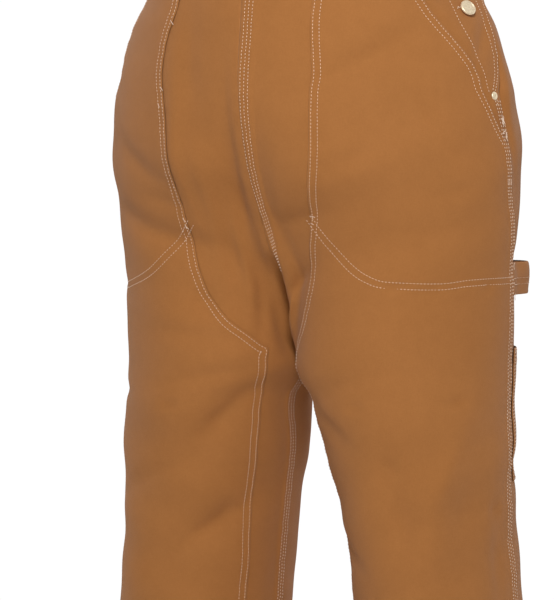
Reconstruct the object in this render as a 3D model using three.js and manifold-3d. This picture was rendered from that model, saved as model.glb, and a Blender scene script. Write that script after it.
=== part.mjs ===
// Work overalls of brown cotton duck, as they stand on a figure that isn't there: hollow, and open at the
// neck, the armholes and the hems. Millimetres, +Z up. The front faces -Y and the wearer's left is +X.
// The origin lies midway between the two straps, where they rest on the shoulders.
import * as THREE from 'three';
import { mergeVertices } from 'three/addons/utils/BufferGeometryUtils.js';
import Module from 'manifold-3d';

const wasm = await Module();
wasm.setup();

// Heights are given above the crotch. The way round half the garment is given as a share:
// 0 at the centre front or the inseam, 0.5 at the outseam and 1 at the centre back or the inseam again.
const crotchZ = -760;
const inseam = 813;
const waistSeam = 440;
const bibTop = 690;
const backTop = 650;
const frontSeamStart = 297;
const seatSeamStart = 250;
const doubleFrontEnd = -590;
const openingFoot = 291;

const wall = 1.6;
const seamGap = 0.3;
const layerGap = 0.3;
const overlayWall = 1.4;
const girth = 600; // from the centre front or inseam all the way round one leg

const degree = Math.PI / 180;

const duck = new THREE.MeshStandardMaterial({ color: 0xa5693c, roughness: 0.92, metalness: 0 });
const duckBack = new THREE.MeshStandardMaterial({ color: 0x9c6238, roughness: 0.92, metalness: 0 });
const duckTop = new THREE.MeshStandardMaterial({ color: 0xad6f40, roughness: 0.92, metalness: 0 });
const brass = new THREE.MeshStandardMaterial({ color: 0xd9c9a0, roughness: 0.35, metalness: 0.9 });

function ease(share) {
  const t = Math.min(Math.max(share, 0), 1);
  return t * t * (3 - 2 * t);
}

// A smooth curve through the points (xs, ys), which never overshoots them.
function smoothCurve(xs, ys) {
  const last = xs.length - 1;
  const steps = xs.slice(1).map((x, i) => x - xs[i]);
  const slopes = steps.map((step, i) => (ys[i + 1] - ys[i]) / step);
  const tangents = xs.map((_, i) => {
    if (i === 0) return slopes[0];
    if (i === last) return slopes[last - 1];
    if (slopes[i - 1] * slopes[i] <= 0) return 0;
    const before = 2 * steps[i] + steps[i - 1];
    const after = steps[i] + 2 * steps[i - 1];
    return (before + after) / (before / slopes[i - 1] + after / slopes[i]);
  });
  return at => {
    const x = Math.min(Math.max(at, xs[0]), xs[last]);
    const i = Math.min(last - 1, Math.max(0, xs.findIndex(value => value > x) - 1));
    const start = x >= xs[last] ? last - 1 : i;
    const t = (x - xs[start]) / steps[start];
    const bend = ease(t);
    const rise = t * (1 - t) * (1 - t) * tangents[start] - t * t * (1 - t) * tangents[start + 1];
    return ys[start] * (1 - bend) + ys[start + 1] * bend + steps[start] * rise;
  };
}

// A table of named columns, each read as a smooth curve over the first column.
function table(names, rows) {
  const keys = rows.map(row => row[0]);
  const columns = {};
  names.split(' ').forEach((name, i) => {
    columns[name] = smoothCurve(keys, rows.map(row => row[i]));
  });
  return columns;
}

// The trunk is half ellipses, deeper in front or behind, with the outseam's place as an angle in degrees.
const trunk = table('above halfWidth front back side', [
  [0, 216.5, 140, 146, 97],
  [60, 218, 133, 147, 95],
  [130, 225, 136, 148, 91],
  [212, 231, 150, 154, 85],
  [277, 225, 154, 152, 83],
  [300, 219, 154, 150, 88],
  [350, 201, 151, 148, 93],
  [392, 178, 148, 144, 104],
  [440, 170, 150, 141, 108],
  [500, 170, 151, 134, 108],
  [600, 168, 138, 124, 104],
  [690, 166, 122, 116, 100],
  [760, 160, 100, 100, 100],
]);

// Each leg is an ellipse, its inseam a little further forward and its outseam turned back by some degrees.
const leg = table('above centreX centreY halfWidth halfDepth forward turn', [
  [-inseam, 170, 16, 90, 92, 0, 4],
  [-600, 162, 17, 88, 94, 2, 6],
  [-400, 153, 18, 86, 104, -5, 8],
  [-240, 140.5, 14, 82, 109, -8, 8],
  [-160, 132, 12, 84.5, 109, -4, 8],
  [-85, 124.5, 10, 93.5, 106, 8, 8],
  [-40, 120, 11, 97, 106, 21, 8],
  [0, 108.25, 13, 108.25, 110, 18, 7],
  [30, 108.25, 13, 108.25, 110, 18, 7],
]);
const rightLegWider = 5; // the right leg stands a little wider and shallower than the left
const thighReach = 225; // height over which the thigh becomes the hip, away from the centre seams

// The inner edge of the second layer on each front, as a share of the way round.
const doubleFrontEdge = table('above left right', [
  [-590, 0.078, 0.078],
  [-250, 0.078, 0.081],
  [-130, 0.08, 0.082],
  [-89, 0.078, 0.0825],
  [-63, 0.077, 0.0745],
  [-38, 0.076, 0.07],
  [-16, 0.077, 0.0855],
  [3, 0.079, 0.0935],
  [10, 0.0815, 0.0905],
  [14, 0.0835, 0.0885],
  [20, 0.0895, 0.102],
  [32, 0.104, 0.1225],
  [44, 0.113, 0.1435],
  [60, 0.1175, 0.1575],
  [76, 0.118, 0.166],
  [92, 0.114, 0.165],
  [129, 0.105, 0.155],
  [170, 0.103, 0.143],
  [210, 0.109, 0.138],
  [256, 0.116, 0.148],
  [285, 0.119, 0.158],
  [335, 0.117, 0.152],
  [375, 0.12, 0.132],
  [440, 0.13, 0.126],
]);

// The slanted mouth of the side pocket, cut into the second layer.
const pocketMouth = table('above around', [
  [228, 0.506],
  [258, 0.473],
  [279, 0.456],
  [324, 0.39],
  [371, 0.316],
  [446, 0.2],
]);

// How far round the bib and the back reach, in degrees from the centre front.
const topEdge = table('above bib back', [
  [440, 108, 108],
  [455, 106, 108.5],
  [470, 99, 112],
  [487, 84, 121],
  [508, 68, 129],
  [545, 55, 140],
  [600, 48, 150],
  [690, 46, 160],
]);

// The largest folds: a soft trough or ridge each, leaning from the vertical by an angle in degrees.
const foldNames = 'side around above lean length width depth'.split(' ');
const folds = [
  [-1, 0.055, 200, 6, 190, 20, -4],
  [-1, 0.105, 175, 10, 170, 20, 3],
  [-1, 0.176, 60, -10, 70, 24, -4],
  [-1, 0.142, -60, -45, 110, 22, -5],
  [-1, 0.147, -175, -56, 120, 22, -5],
  [-1, 0.228, -227, -15, 90, 28, -4],
  [1, 0.216, 317, 63, 150, 20, -3],
  [1, 0.198, 255, 0, 110, 26, -3],
  [1, 0.199, 143, 0, 90, 26, -3],
  [1, 0.34, -145, 19, 170, 18, 5],
  [1, 0.395, -150, 12, 170, 26, -5],
  [1, 0.27, -140, -10, 110, 24, -4],
  [1, 0.25, -400, -35, 170, 26, -6],
  [-1, 0.27, -420, 30, 170, 26, -6],
  [1, 0.3, -640, 50, 150, 26, 6],
  [-1, 0.3, -660, -50, 150, 26, 6],
  [1, 0.16, -720, -30, 130, 24, -6],
  [-1, 0.18, -730, 25, 130, 24, -6],
  [1, 0.74, -330, 65, 170, 24, -6],
  [-1, 0.76, -350, -65, 170, 24, -6],
  [1, 0.7, -410, 70, 150, 22, 6],
  [-1, 0.7, -425, -68, 150, 22, 6],
  [1, 0.78, -480, -62, 150, 24, -6],
  [-1, 0.78, -500, 60, 150, 24, -6],
  [1, 0.85, 20, -48, 190, 24, -6],
  [-1, 0.85, 10, -46, 190, 24, -6],
  [1, 0.8, -70, -55, 170, 24, 5],
  [-1, 0.81, -80, -52, 170, 24, 5],
  [1, 0.84, 330, -8, 170, 24, -5],
  [-1, 0.8, 340, 10, 170, 24, -5],
  [1, 0.62, 330, 5, 150, 22, -4],
  [-1, 0.63, 340, 0, 150, 22, -4],
  [1, 0.7, -650, -40, 140, 24, -6],
  [-1, 0.72, -670, 45, 140, 24, -6],
  [-1, 0.93, -40, 0, 120, 42, 12],
  [1, 0.035, 55, 0, 100, 15, 10],
  [-1, 0.035, 60, 0, 110, 16, -8],
].map(row => Object.fromEntries(row.map((value, i) => [foldNames[i], value])));

// The heights of the rows of points on every panel below the waist seam.
const panelRows = [
  -inseam, -745, -665, doubleFrontEnd, -520, -450, -380, -310, -245, -185, -122, -85, -50, -22, 0, 3, 9, 16, 28,
  44, 72, 106, 135, 165, 200, 234, 262, 291, 320, 350, 380, 410, 440,
];
const frontInnerCells = 4;
const frontOuterCells = 9;
const backColumns = [0.5, 0.53, 0.56, 0.595, 0.63, 0.665, 0.7, 0.75, 0.8, 0.85, 0.9, 0.95, 1];

// How far a centre seam has turned under at a height: 0 where it starts to, 1 at the crotch.
function fork(above, start, spread, turn) {
  const share = Math.min(Math.max((start - above) / start, 0), 1);
  return 1 - Math.pow(1 - Math.pow(share, spread), 1 / turn);
}

function trunkPoint(angle, above) {
  const depth = Math.abs(angle) < Math.PI / 2 ? trunk.front(above) : trunk.back(above);
  return new THREE.Vector3(
    trunk.halfWidth(above) * Math.sin(angle), -depth * Math.cos(angle), above + crotchZ,
  );
}

function sideAngle(around, above) {
  const side = trunk.side(above) * degree;
  return around < 0.5 ? 2 * around * side : side + (2 * around - 1) * (Math.PI - side);
}

// How much of a point's place comes from the leg's ellipse.
function legShareAt(around, above) {
  if (above <= 0) return 1;
  const blend = ease(around);
  const seams = fork(above, frontSeamStart, 1.6, 1.4) * (1 - blend) + fork(above, seatSeamStart, 2.6, 1.6) * blend;
  const awayFromSeams = ease(Math.min(around, 1 - around) / 0.11);
  return seams * (1 - awayFromSeams) + (1 - ease(above / thighReach)) * awayFromSeams;
}

// A point of either half, drawn as the left one, from the hem to the waist seam.
function bodyPoint(side, around, above) {
  const round = 2 * Math.PI * around;
  const inseamShare = (1 + Math.cos(round)) / 2;
  const turn = round + leg.turn(above) * degree * (1 - inseamShare);
  const legShare = legShareAt(around, above);
  const wider = side < 0 ? rightLegWider * ease(-above / 120) : 0;
  const width = above > 0 ? trunk.halfWidth(above) / 2 : leg.halfWidth(above) + wider;
  const centre = above > 0 ? width : leg.centreX(above);
  const soft = 0.5 * (1 - legShare) * inseamShare; // rounds the valley between the thighs
  const across = Math.sin(turn);
  const rounded = (Math.hypot(across, soft) - soft) / (Math.hypot(1, soft) - soft);
  const legPoint = new THREE.Vector3(
    centre - width * Math.cos(turn),
    leg.centreY(above) - (leg.halfDepth(above) - wider) * Math.sign(across) * rounded
      - leg.forward(above) * inseamShare,
    above + crotchZ,
  );
  return trunkPoint(sideAngle(around, above), Math.max(above, 0)).setZ(above + crotchZ).lerp(legPoint, legShare);
}

function outward(surface, across, above) {
  const sideStep = 1e-4;
  const rise = 0.4;
  const along = surface(across + sideStep, above).sub(surface(across - sideStep, above));
  const up = surface(across, above + rise).sub(surface(across, above - rise));
  return along.cross(up).normalize();
}

const bodySurface = side => (around, above) => bodyPoint(side, around, above);

// How far the folds lift or sink the cloth at a point.
function foldHeight(side, around, above) {
  let height = 0;
  for (const fold of folds) {
    if (fold.side !== side) continue;
    const across = (around - fold.around) * girth;
    const up = above - fold.above;
    const lean = fold.lean * degree;
    const off = (across * Math.cos(lean) - up * Math.sin(lean)) / fold.width;
    const along = (across * Math.sin(lean) + up * Math.cos(lean)) / (fold.length / 2);
    height += fold.depth * Math.exp(-off * off - along * along);
  }
  return height * ease(Math.min(around, 1 - around) / 0.05);
}

function clothPoint(side, around, above, offset) {
  const surface = bodySurface(side);
  const lift = foldHeight(side, around, above) + offset;
  const point = surface(around, above).addScaledVector(outward(surface, around, above), lift);
  point.x = side * Math.max(point.x, seamGap / 2);
  return point;
}

// The share of the way round that half a seam's gap takes up.
function seamShare(around, above) {
  const step = 0.01;
  const length = bodyPoint(1, around + step, above).distanceTo(bodyPoint(1, around - step, above));
  return (seamGap * step) / length;
}

function facingOut(geometry) {
  const position = geometry.getAttribute('position');
  const index = geometry.getIndex().array;
  const corners = [0, 1, 2].map(() => new THREE.Vector3());
  let volume = 0;
  for (let i = 0; i < index.length; i += 3) {
    corners.forEach((corner, k) => corner.fromBufferAttribute(position, index[i + k]));
    volume += corners[0].dot(corners[1].clone().cross(corners[2]));
  }
  if (volume < 0) index.reverse();
  return geometry;
}

// A closed wall between two grids of points, each a list of rows.
function slab(outer, inner) {
  const rows = outer.length;
  const columns = outer[0].length;
  const points = [...outer.flat(), ...inner.flat()];
  const at = (layer, row, column) => layer * rows * columns + row * columns + column;
  const index = [];
  const quad = (a, b, c, d) => index.push(a, b, c, a, c, d);
  for (let r = 0; r < rows - 1; r++) {
    for (let c = 0; c < columns - 1; c++) {
      quad(at(0, r, c), at(0, r, c + 1), at(0, r + 1, c + 1), at(0, r + 1, c));
      quad(at(1, r, c), at(1, r + 1, c), at(1, r + 1, c + 1), at(1, r, c + 1));
    }
    quad(at(1, r, 0), at(0, r, 0), at(0, r + 1, 0), at(1, r + 1, 0));
    const end = columns - 1;
    quad(at(0, r, end), at(1, r, end), at(1, r + 1, end), at(0, r + 1, end));
  }
  for (let c = 0; c < columns - 1; c++) {
    const top = rows - 1;
    quad(at(0, 0, c), at(1, 0, c), at(1, 0, c + 1), at(0, 0, c + 1));
    quad(at(1, top, c), at(0, top, c), at(0, top, c + 1), at(1, top, c + 1));
  }
  const geometry = new THREE.BufferGeometry().setFromPoints(points);
  geometry.setIndex(new THREE.BufferAttribute(new Uint32Array(index), 1));
  return facingOut(geometry);
}

function piece(name, geometry, material) {
  const mesh = new THREE.Mesh(geometry, material);
  mesh.name = name;
  return mesh;
}

// Heights of rows, drawn in by half a gap where a row lies on the waist seam.
const seamRow = above => (above === waistSeam ? above - seamGap / 2 : above);

function panelGrid(side, rows, columnsAt, offset) {
  return rows.map(row => columnsAt(row).map(around => {
    const above = seamRow(row);
    return clothPoint(side, around, above, typeof offset === 'function' ? offset(around, row) : offset);
  }));
}

function frontColumns(side) {
  const edge = side > 0 ? doubleFrontEdge.left : doubleFrontEdge.right;
  return above => {
    const first = seamShare(0, above);
    const last = 0.5 - seamShare(0.5, above);
    const middle = edge(above);
    const inner = Array.from({ length: frontInnerCells }, (_, i) => first + ((middle - first) * i) / frontInnerCells);
    const outer = Array.from({ length: frontOuterCells + 1 }, (_, i) => middle + ((last - middle) * i) / frontOuterCells);
    return [...inner, ...outer];
  };
}

function backColumnsAt(above) {
  const last = backColumns.length - 1;
  return backColumns.map((around, i) => {
    if (i === 0) return around + seamShare(0.5, above);
    return i === last ? around - seamShare(1, above) : around;
  });
}

function panelWall(side, rows, columnsAt, outerOffset, thickness) {
  return slab(
    panelGrid(side, rows, columnsAt, outerOffset),
    panelGrid(side, rows, columnsAt, outerOffset - thickness),
  );
}

function subtract(geometry, cutter) {
  const solid = source => {
    const merged = mergeVertices(new THREE.BufferGeometry()
      .setAttribute('position', source.getAttribute('position'))
      .setIndex(source.getIndex()));
    return new wasm.Manifold(new wasm.Mesh({
      numProp: 3,
      vertProperties: new Float32Array(merged.attributes.position.array),
      triVerts: new Uint32Array(merged.index.array),
    }));
  };
  const result = solid(geometry).subtract(solid(cutter)).getMesh();
  const cut = new THREE.BufferGeometry();
  cut.setAttribute('position', new THREE.BufferAttribute(new Float32Array(result.vertProperties), 3));
  cut.setIndex(new THREE.BufferAttribute(new Uint32Array(result.triVerts), 1));
  return cut;
}

// The second layer lies on the front from its inner edge to the outseam, without the pocket's mouth.
function doubleFront(side) {
  const columnsAt = frontColumns(side);
  const rows = panelRows.filter(above => above >= doubleFrontEnd);
  const layer = panelWall(
    side, rows, above => columnsAt(above).slice(frontInnerCells), layerGap + overlayWall, overlayWall,
  );
  const cutDepth = 10;
  const mouthRows = [228, 258, 279, 300, 324, 350, 371, 395, 420, 446];
  const beyond = 0.57;
  const mouthColumns = above => [0, 1, 2, 3].map(i => {
    const start = pocketMouth.around(above);
    return start + ((beyond - start) * i) / 3;
  });
  return subtract(layer, panelWall(side, mouthRows, mouthColumns, cutDepth, 2 * cutDepth));
}

// The button facing lies under the front's edge at the side opening.
function sidePlacket(side) {
  const columnsAt = frontColumns(side);
  const rows = panelRows.filter(above => above >= openingFoot);
  return panelWall(side, rows, above => columnsAt(above).slice(-3), -wall - layerGap, wall);
}

// The tool pocket stands a little off the back of the leg, most of all at its open top.
function toolPocket(side) {
  const foot = -122;
  const mouth = 16;
  const slack = 1.4;
  const rows = panelRows.filter(above => above >= foot && above <= mouth);
  const columns = backColumns.filter(around => around >= 0.53 && around <= 0.7);
  const stand = (around, above) => {
    const across = Math.sin((Math.PI * (around - 0.53)) / 0.17);
    return layerGap + slack * across * Math.sqrt((above - foot) / (mouth - foot));
  };
  return slab(
    panelGrid(side, rows, () => columns, (around, above) => stand(around, above) + wall),
    panelGrid(side, rows, () => columns, stand),
  );
}

// The hammer loop is sewn down at both ends and bows out between them.
function hammerLoop(side) {
  const rows = [72, 106];
  const bow = 16;
  const thickness = 2.2;
  const start = 0.53;
  const end = 0.665;
  const steps = 9;
  const columns = above => [
    0.5 + seamShare(0.5, above),
    ...Array.from({ length: steps + 1 }, (_, i) => start + ((end - start) * i) / steps),
    0.7,
  ];
  const stand = around => {
    const share = Math.min(Math.max((around - start) / (end - start), 0), 1);
    return layerGap + bow * Math.sin(Math.PI * share) ** 2;
  };
  return slab(
    panelGrid(side, rows, columns, around => stand(around) + thickness),
    panelGrid(side, rows, columns, stand),
  );
}

// A wall over the trunk's own surface, between two angles at each height.
function trunkWall(rows, anglesAt, outerOffset, thickness) {
  const layer = offset => rows.map(above => anglesAt(above).map(angle => {
    const point = trunkPoint(angle, above);
    return point.addScaledVector(outward(trunkPoint, angle, above), offset);
  }));
  return slab(layer(outerOffset), layer(outerOffset - thickness));
}

function bib() {
  const rows = [waistSeam + seamGap / 2, 455, 470, 478, 487, 497, 508, 525, 545, 570, 600, 645, bibTop];
  const cells = 14;
  const gap = (seamGap / 2 / trunk.halfWidth(waistSeam));
  const anglesAt = above => Array.from({ length: cells + 1 }, (_, i) => {
    return (topEdge.bib(above) * degree - gap) * ((2 * i) / cells - 1);
  });
  return trunkWall(rows, anglesAt, 0, wall);
}

function highBack() {
  const rows = [waistSeam + seamGap / 2, 455, 470, 478, 487, 497, 508, 525, 545, 570, 600, 625, backTop];
  const cells = 12;
  const gap = (seamGap / 2 / trunk.halfWidth(waistSeam));
  const anglesAt = above => Array.from({ length: cells + 1 }, (_, i) => {
    const edge = topEdge.back(above) * degree + gap;
    return edge + ((2 * Math.PI - 2 * edge) * i) / cells;
  });
  const backPoint = (angle, above) => {
    const point = trunkPoint(2 * Math.PI - angle, above);
    return point.setX(-point.x);
  };
  const layer = offset => rows.map(above => anglesAt(above).map(angle => {
    const surface = angle > Math.PI ? backPoint : trunkPoint;
    return surface(angle, above).addScaledVector(outward(surface, angle, above), offset);
  }));
  return slab(layer(0), layer(-wall));
}

// A frame that stands on the bib or on a front: across, up and outward, at a point of the surface.
function seatOn(surface, across, above, sink = 0) {
  const out = outward(surface, across, above);
  const right = new THREE.Vector3(0, 0, 1).cross(out).normalize();
  const point = surface(across, above).addScaledVector(out, -sink);
  return { point, right, up: out.clone().cross(right), out };
}

function mirrored(seat, side) {
  const flip = vector => vector.clone().setX(side * vector.x);
  return {
    point: flip(seat.point),
    right: flip(seat.right).multiplyScalar(side),
    up: flip(seat.up),
    out: flip(seat.out),
  };
}

function place(mesh, seat) {
  mesh.position.copy(seat.point);
  mesh.quaternion.setFromRotationMatrix(new THREE.Matrix4().makeBasis(seat.right, seat.up, seat.out));
  return mesh;
}

// A round fastener turned from its profile: radius and height off the cloth.
function turned(profile, segments) {
  const points = profile.map(([radius, height]) => new THREE.Vector2(radius, height));
  const lathe = new THREE.LatheGeometry(points, segments);
  lathe.deleteAttribute('normal');
  lathe.deleteAttribute('uv');
  return facingOut(mergeVertices(lathe.rotateX(Math.PI / 2), 1e-3));
}

const buttonRadius = 8.65;
const rivetRadius = 4.35;
const buttonSegments = 18;

const sideButton = () => turned([
  [0, 0.15], [3, 0.15], [3, 1.3], [buttonRadius - 0.6, 1.3], [buttonRadius, 2.1],
  [buttonRadius - 0.3, 3.3], [buttonRadius - 1.4, 3.8], [buttonRadius - 2.3, 3.2], [0, 3.3],
], buttonSegments);

const rivet = () => turned([
  [0, 0.15], [rivetRadius, 0.15], [rivetRadius, 0.9], [rivetRadius - 1.2, 1.8], [1.6, 2.1], [1.2, 1.5], [0, 1.5],
], 14);

// Bib fastening: a button, and a flat buckle that hooks over its neck and carries the strap on its top bar.
const fastening = {
  across: 97,
  above: 664,
  neckRadius: 3,
  plateFrom: 1.2,
  plateThickness: 2,
  barFoot: 34,
  barTop: 38,
};
const strap = { width: 38, thickness: 2, across: 40 };

const bibButton = () => turned([
  [0, 0.15], [fastening.neckRadius, 0.15], [fastening.neckRadius, 3.6], [buttonRadius, 3.6],
  [buttonRadius, 5.2], [buttonRadius - 1, 6.1], [buttonRadius - 2.2, 5.5], [0, 5.7],
], buttonSegments);

function buckle() {
  const slot = { foot: 26, half: 20 };
  const half = slot.half + 3;
  const outline = new THREE.Shape();
  outline.moveTo(-7, -4);
  outline.absarc(0, 0, 8, Math.PI * 1.17, Math.PI * 1.83, false);
  outline.lineTo(half, slot.foot - 6);
  outline.lineTo(half, fastening.barTop);
  outline.lineTo(-half, fastening.barTop);
  outline.lineTo(-half, slot.foot - 6);
  outline.closePath();
  const neck = new THREE.Path().absarc(0, 0, fastening.neckRadius + 0.5, 0, 2 * Math.PI, true);
  const opening = new THREE.Path();
  opening.moveTo(-slot.half, slot.foot);
  opening.lineTo(-slot.half, fastening.barFoot);
  opening.lineTo(slot.half, fastening.barFoot);
  opening.lineTo(slot.half, slot.foot);
  opening.closePath();
  const window = new THREE.Path();
  window.moveTo(-6, 9);
  window.lineTo(-13, 21);
  window.lineTo(13, 21);
  window.lineTo(6, 9);
  window.closePath();
  outline.holes.push(neck, opening, window);
  const plate = new THREE.ExtrudeGeometry(outline, {
    depth: fastening.plateThickness, bevelEnabled: false, curveSegments: 8,
  });
  plate.translate(0, 0, fastening.plateFrom);
  plate.deleteAttribute('normal');
  plate.deleteAttribute('uv');
  return facingOut(mergeVertices(plate, 1e-3));
}

const bibSeat = () => {
  const angle = Math.asin(fastening.across / trunk.halfWidth(fastening.above));
  return seatOn(trunkPoint, angle, fastening.above);
};

// The strap's middle line: off the back's top edge, over the shoulder and round the buckle's bar.
const strapRoute = [
  [46, 114, -70, -11],
  [55, 100, -38, -10],
  [68, 66, -11, -8],
  [80, 22, 0, -2],
  [86, -10, 1, 4],
  [91, -48, -5, 12],
  [95, -80, -19, 21],
];

function leftStrap() {
  const half = strap.thickness / 2;
  const stations = [];
  const backOffset = 0.45 + half;
  for (const above of [618, 634, backTop]) {
    const angle = Math.PI - Math.asin(strap.across / trunk.halfWidth(above));
    const seat = seatOn(trunkPoint, angle, above);
    const turn = Math.atan2(-seat.right.y, -seat.right.x);
    stations.push({ point: seat.point.addScaledVector(seat.out, backOffset), turn });
  }
  for (const [x, y, z, turn] of strapRoute) {
    stations.push({ point: new THREE.Vector3(x, y, z), turn: turn * degree });
  }
  const seat = bibSeat();
  const onBuckle = (up, out) => seat.point.clone().addScaledVector(seat.up, up).addScaledVector(seat.out, out);
  const frontTurn = Math.atan2(seat.right.y, seat.right.x);
  const middle = fastening.plateFrom + fastening.plateThickness / 2;
  const bend = fastening.plateThickness / 2 + 0.4 + half;
  const bendCentre = fastening.barFoot + 0.6;
  for (const up of [62, 48]) {
    stations.push({ point: onBuckle(up, middle + bend), turn: frontTurn });
  }
  const curve = new THREE.CatmullRomCurve3(stations.map(station => station.point), false, 'centripetal');
  const turnAt = smoothCurve(stations.map((_, i) => i), stations.map(station => station.turn));
  const steps = 30;
  const line = Array.from({ length: steps + 1 }, (_, i) => ({
    point: curve.getPoint(i / steps),
    turn: turnAt((i / steps) * (stations.length - 1)),
  }));
  const bendSteps = 6;
  for (let i = 0; i <= bendSteps; i++) {
    const angle = (Math.PI * i) / bendSteps;
    line.push({ point: onBuckle(bendCentre - bend * Math.sin(angle), middle + bend * Math.cos(angle)), turn: frontTurn });
  }
  for (const up of [46, 58]) {
    line.push({ point: onBuckle(up, middle - bend), turn: frontTurn });
  }
  const columns = [-0.5, -0.25, 0, 0.25, 0.5];
  const layer = offset => line.map((station, i) => {
    const before = line[Math.max(0, i - 1)].point;
    const after = line[Math.min(line.length - 1, i + 1)].point;
    const across = new THREE.Vector3(Math.cos(station.turn), Math.sin(station.turn), 0);
    const out = after.clone().sub(before).normalize().cross(across).normalize();
    return columns.map(column => station.point.clone()
      .addScaledVector(across, column * strap.width)
      .addScaledVector(out, offset));
  });
  return slab(layer(half), layer(-half));
}

const sideName = side => (side > 0 ? 'left' : 'right');

const overalls = new THREE.Group();
overalls.name = 'overalls';

for (const side of [1, -1]) {
  const name = sideName(side);
  overalls.add(
    piece(`front_${name}`, panelWall(side, panelRows, frontColumns(side), 0, wall), duck),
    piece(`back_${name}`, panelWall(side, panelRows, backColumnsAt, 0, wall), duckBack),
    piece(`double_front_${name}`, doubleFront(side), duckTop),
    piece(`side_placket_${name}`, sidePlacket(side), duckTop),
  );
}
overalls.add(
  piece('bib_front', bib(), duck),
  piece('back_bib', highBack(), duckBack),
  piece('hammer_loop', hammerLoop(1), duckTop),
  piece('tool_pocket', toolPocket(1), duckTop),
);

const strapLeft = leftStrap();
const strapRight = facingOut(strapLeft.clone().scale(-1, 1, 1));
overalls.add(piece('strap_left', strapLeft, duckTop), piece('strap_right', strapRight, duckTop));

const buttonPlaces = [
  ['lower', bodySurface(1), 0.419, 365],
  ['upper', trunkPoint, 92 * degree, 452],
];
const rivetPlace = { around: 0.489, above: 276, sink: 0.5 };

for (const side of [1, -1]) {
  const name = sideName(side);
  for (const [level, surface, across, above] of buttonPlaces) {
    const seat = mirrored(seatOn(surface, across, above), side);
    overalls.add(place(piece(`side_button_${level}_${name}`, sideButton(), brass), seat));
  }
  const foot = mirrored(seatOn(bodySurface(1), rivetPlace.around, rivetPlace.above, rivetPlace.sink), side);
  overalls.add(place(piece(`rivet_${name}`, rivet(), brass), foot));
  const front = mirrored(bibSeat(), side);
  overalls.add(
    place(piece(`bib_button_${name}`, bibButton(), brass), front),
    place(piece(`buckle_${name}`, buckle(), brass), front),
  );
}

export default overalls;
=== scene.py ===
import math

import bmesh
import bpy
import numpy as np
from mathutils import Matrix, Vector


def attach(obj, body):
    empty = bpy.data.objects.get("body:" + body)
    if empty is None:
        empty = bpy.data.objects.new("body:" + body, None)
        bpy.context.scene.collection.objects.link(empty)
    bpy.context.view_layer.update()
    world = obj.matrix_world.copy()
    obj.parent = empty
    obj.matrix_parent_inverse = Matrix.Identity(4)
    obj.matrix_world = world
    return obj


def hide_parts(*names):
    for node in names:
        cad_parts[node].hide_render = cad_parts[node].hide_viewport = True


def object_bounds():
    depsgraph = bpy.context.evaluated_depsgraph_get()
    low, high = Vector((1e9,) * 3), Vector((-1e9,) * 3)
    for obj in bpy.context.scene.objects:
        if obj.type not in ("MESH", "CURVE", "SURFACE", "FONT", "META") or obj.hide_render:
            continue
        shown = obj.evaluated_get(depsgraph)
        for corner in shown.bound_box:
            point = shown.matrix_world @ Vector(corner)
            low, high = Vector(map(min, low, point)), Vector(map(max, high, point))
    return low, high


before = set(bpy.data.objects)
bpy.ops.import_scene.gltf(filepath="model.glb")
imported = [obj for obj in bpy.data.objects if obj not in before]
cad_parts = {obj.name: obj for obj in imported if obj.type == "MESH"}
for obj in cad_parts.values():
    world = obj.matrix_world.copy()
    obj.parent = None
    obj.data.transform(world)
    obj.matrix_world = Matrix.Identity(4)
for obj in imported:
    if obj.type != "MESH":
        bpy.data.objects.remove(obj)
cadBox = [list(corner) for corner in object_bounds()]
print("overalls: frame loaded")

# Sizes are the garment's own millimetres, as on the CAD part. Heights are above the crotch. The way round
# half the garment is a share: 0 at the centre front or inseam, 0.5 at the outseam, 1 at the centre back.
mm = 0.001
degree = math.pi / 180

garment = {
    "crotchZ": -760,
    "inseam": 813,
    "waistSeam": 440,
    "bibTop": 690,
    "backTop": 650,
    "frontSeamStart": 297,
    "seatSeamStart": 250,
    "doubleFrontEnd": -590,
    "openingFoot": 291,
    "thighReach": 225,
    "rightLegWider": 5,
    "widerOver": 120,
    "girth": 600,
    "wall": 1.6,
    "seamGap": 0.3,
    "overlayTop": 1.7,
    "overlayWall": 1.4,
}
outseam = 0.5


def ease(share):
    t = np.clip(share, 0, 1)
    return t * t * (3 - 2 * t)


# millimetres round the body from a place
def apart(around, place):
    return (around - place) * garment["girth"]


def steady(value):
    return lambda above: value + 0 * above

def smoothCurve(xs, ys):
    xs = np.array(xs, float)
    ys = np.array(ys, float)
    steps = np.diff(xs)
    slopes = np.diff(ys) / steps
    tangents = np.zeros(len(xs))
    tangents[0] = slopes[0]
    tangents[-1] = slopes[-1]
    for i in range(1, len(xs) - 1):
        if slopes[i - 1] * slopes[i] > 0:
            before = 2 * steps[i] + steps[i - 1]
            after = steps[i] + 2 * steps[i - 1]
            tangents[i] = (before + after) / (before / slopes[i - 1] + after / slopes[i])

    def read(at):
        x = np.clip(at, xs[0], xs[-1])
        i = np.clip(np.searchsorted(xs, x, side="right") - 1, 0, len(xs) - 2)
        t = (x - xs[i]) / steps[i]
        bend = t * t * (3 - 2 * t)
        rise = t * (1 - t) ** 2 * tangents[i] - t * t * (1 - t) * tangents[i + 1]
        return ys[i] * (1 - bend) + ys[i + 1] * bend + steps[i] * rise

    return read


def table(names, rows):
    keys = [row[0] for row in rows]
    return {name: smoothCurve(keys, [row[i] for row in rows]) for i, name in enumerate(names.split())}


# half ellipses, deeper in front or behind, with the outseam's place in degrees
trunk = table("above halfWidth front back side", [
    (0, 216.5, 140, 146, 97),
    (60, 218, 133, 147, 95),
    (130, 225, 136, 148, 91),
    (212, 231, 150, 154, 85),
    (277, 225, 154, 152, 83),
    (300, 219, 154, 150, 88),
    (350, 201, 151, 148, 93),
    (392, 178, 148, 144, 104),
    (440, 170, 150, 141, 108),
    (500, 170, 151, 134, 108),
    (600, 168, 138, 124, 104),
    (690, 166, 122, 116, 100),
    (760, 160, 100, 100, 100),
])

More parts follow.
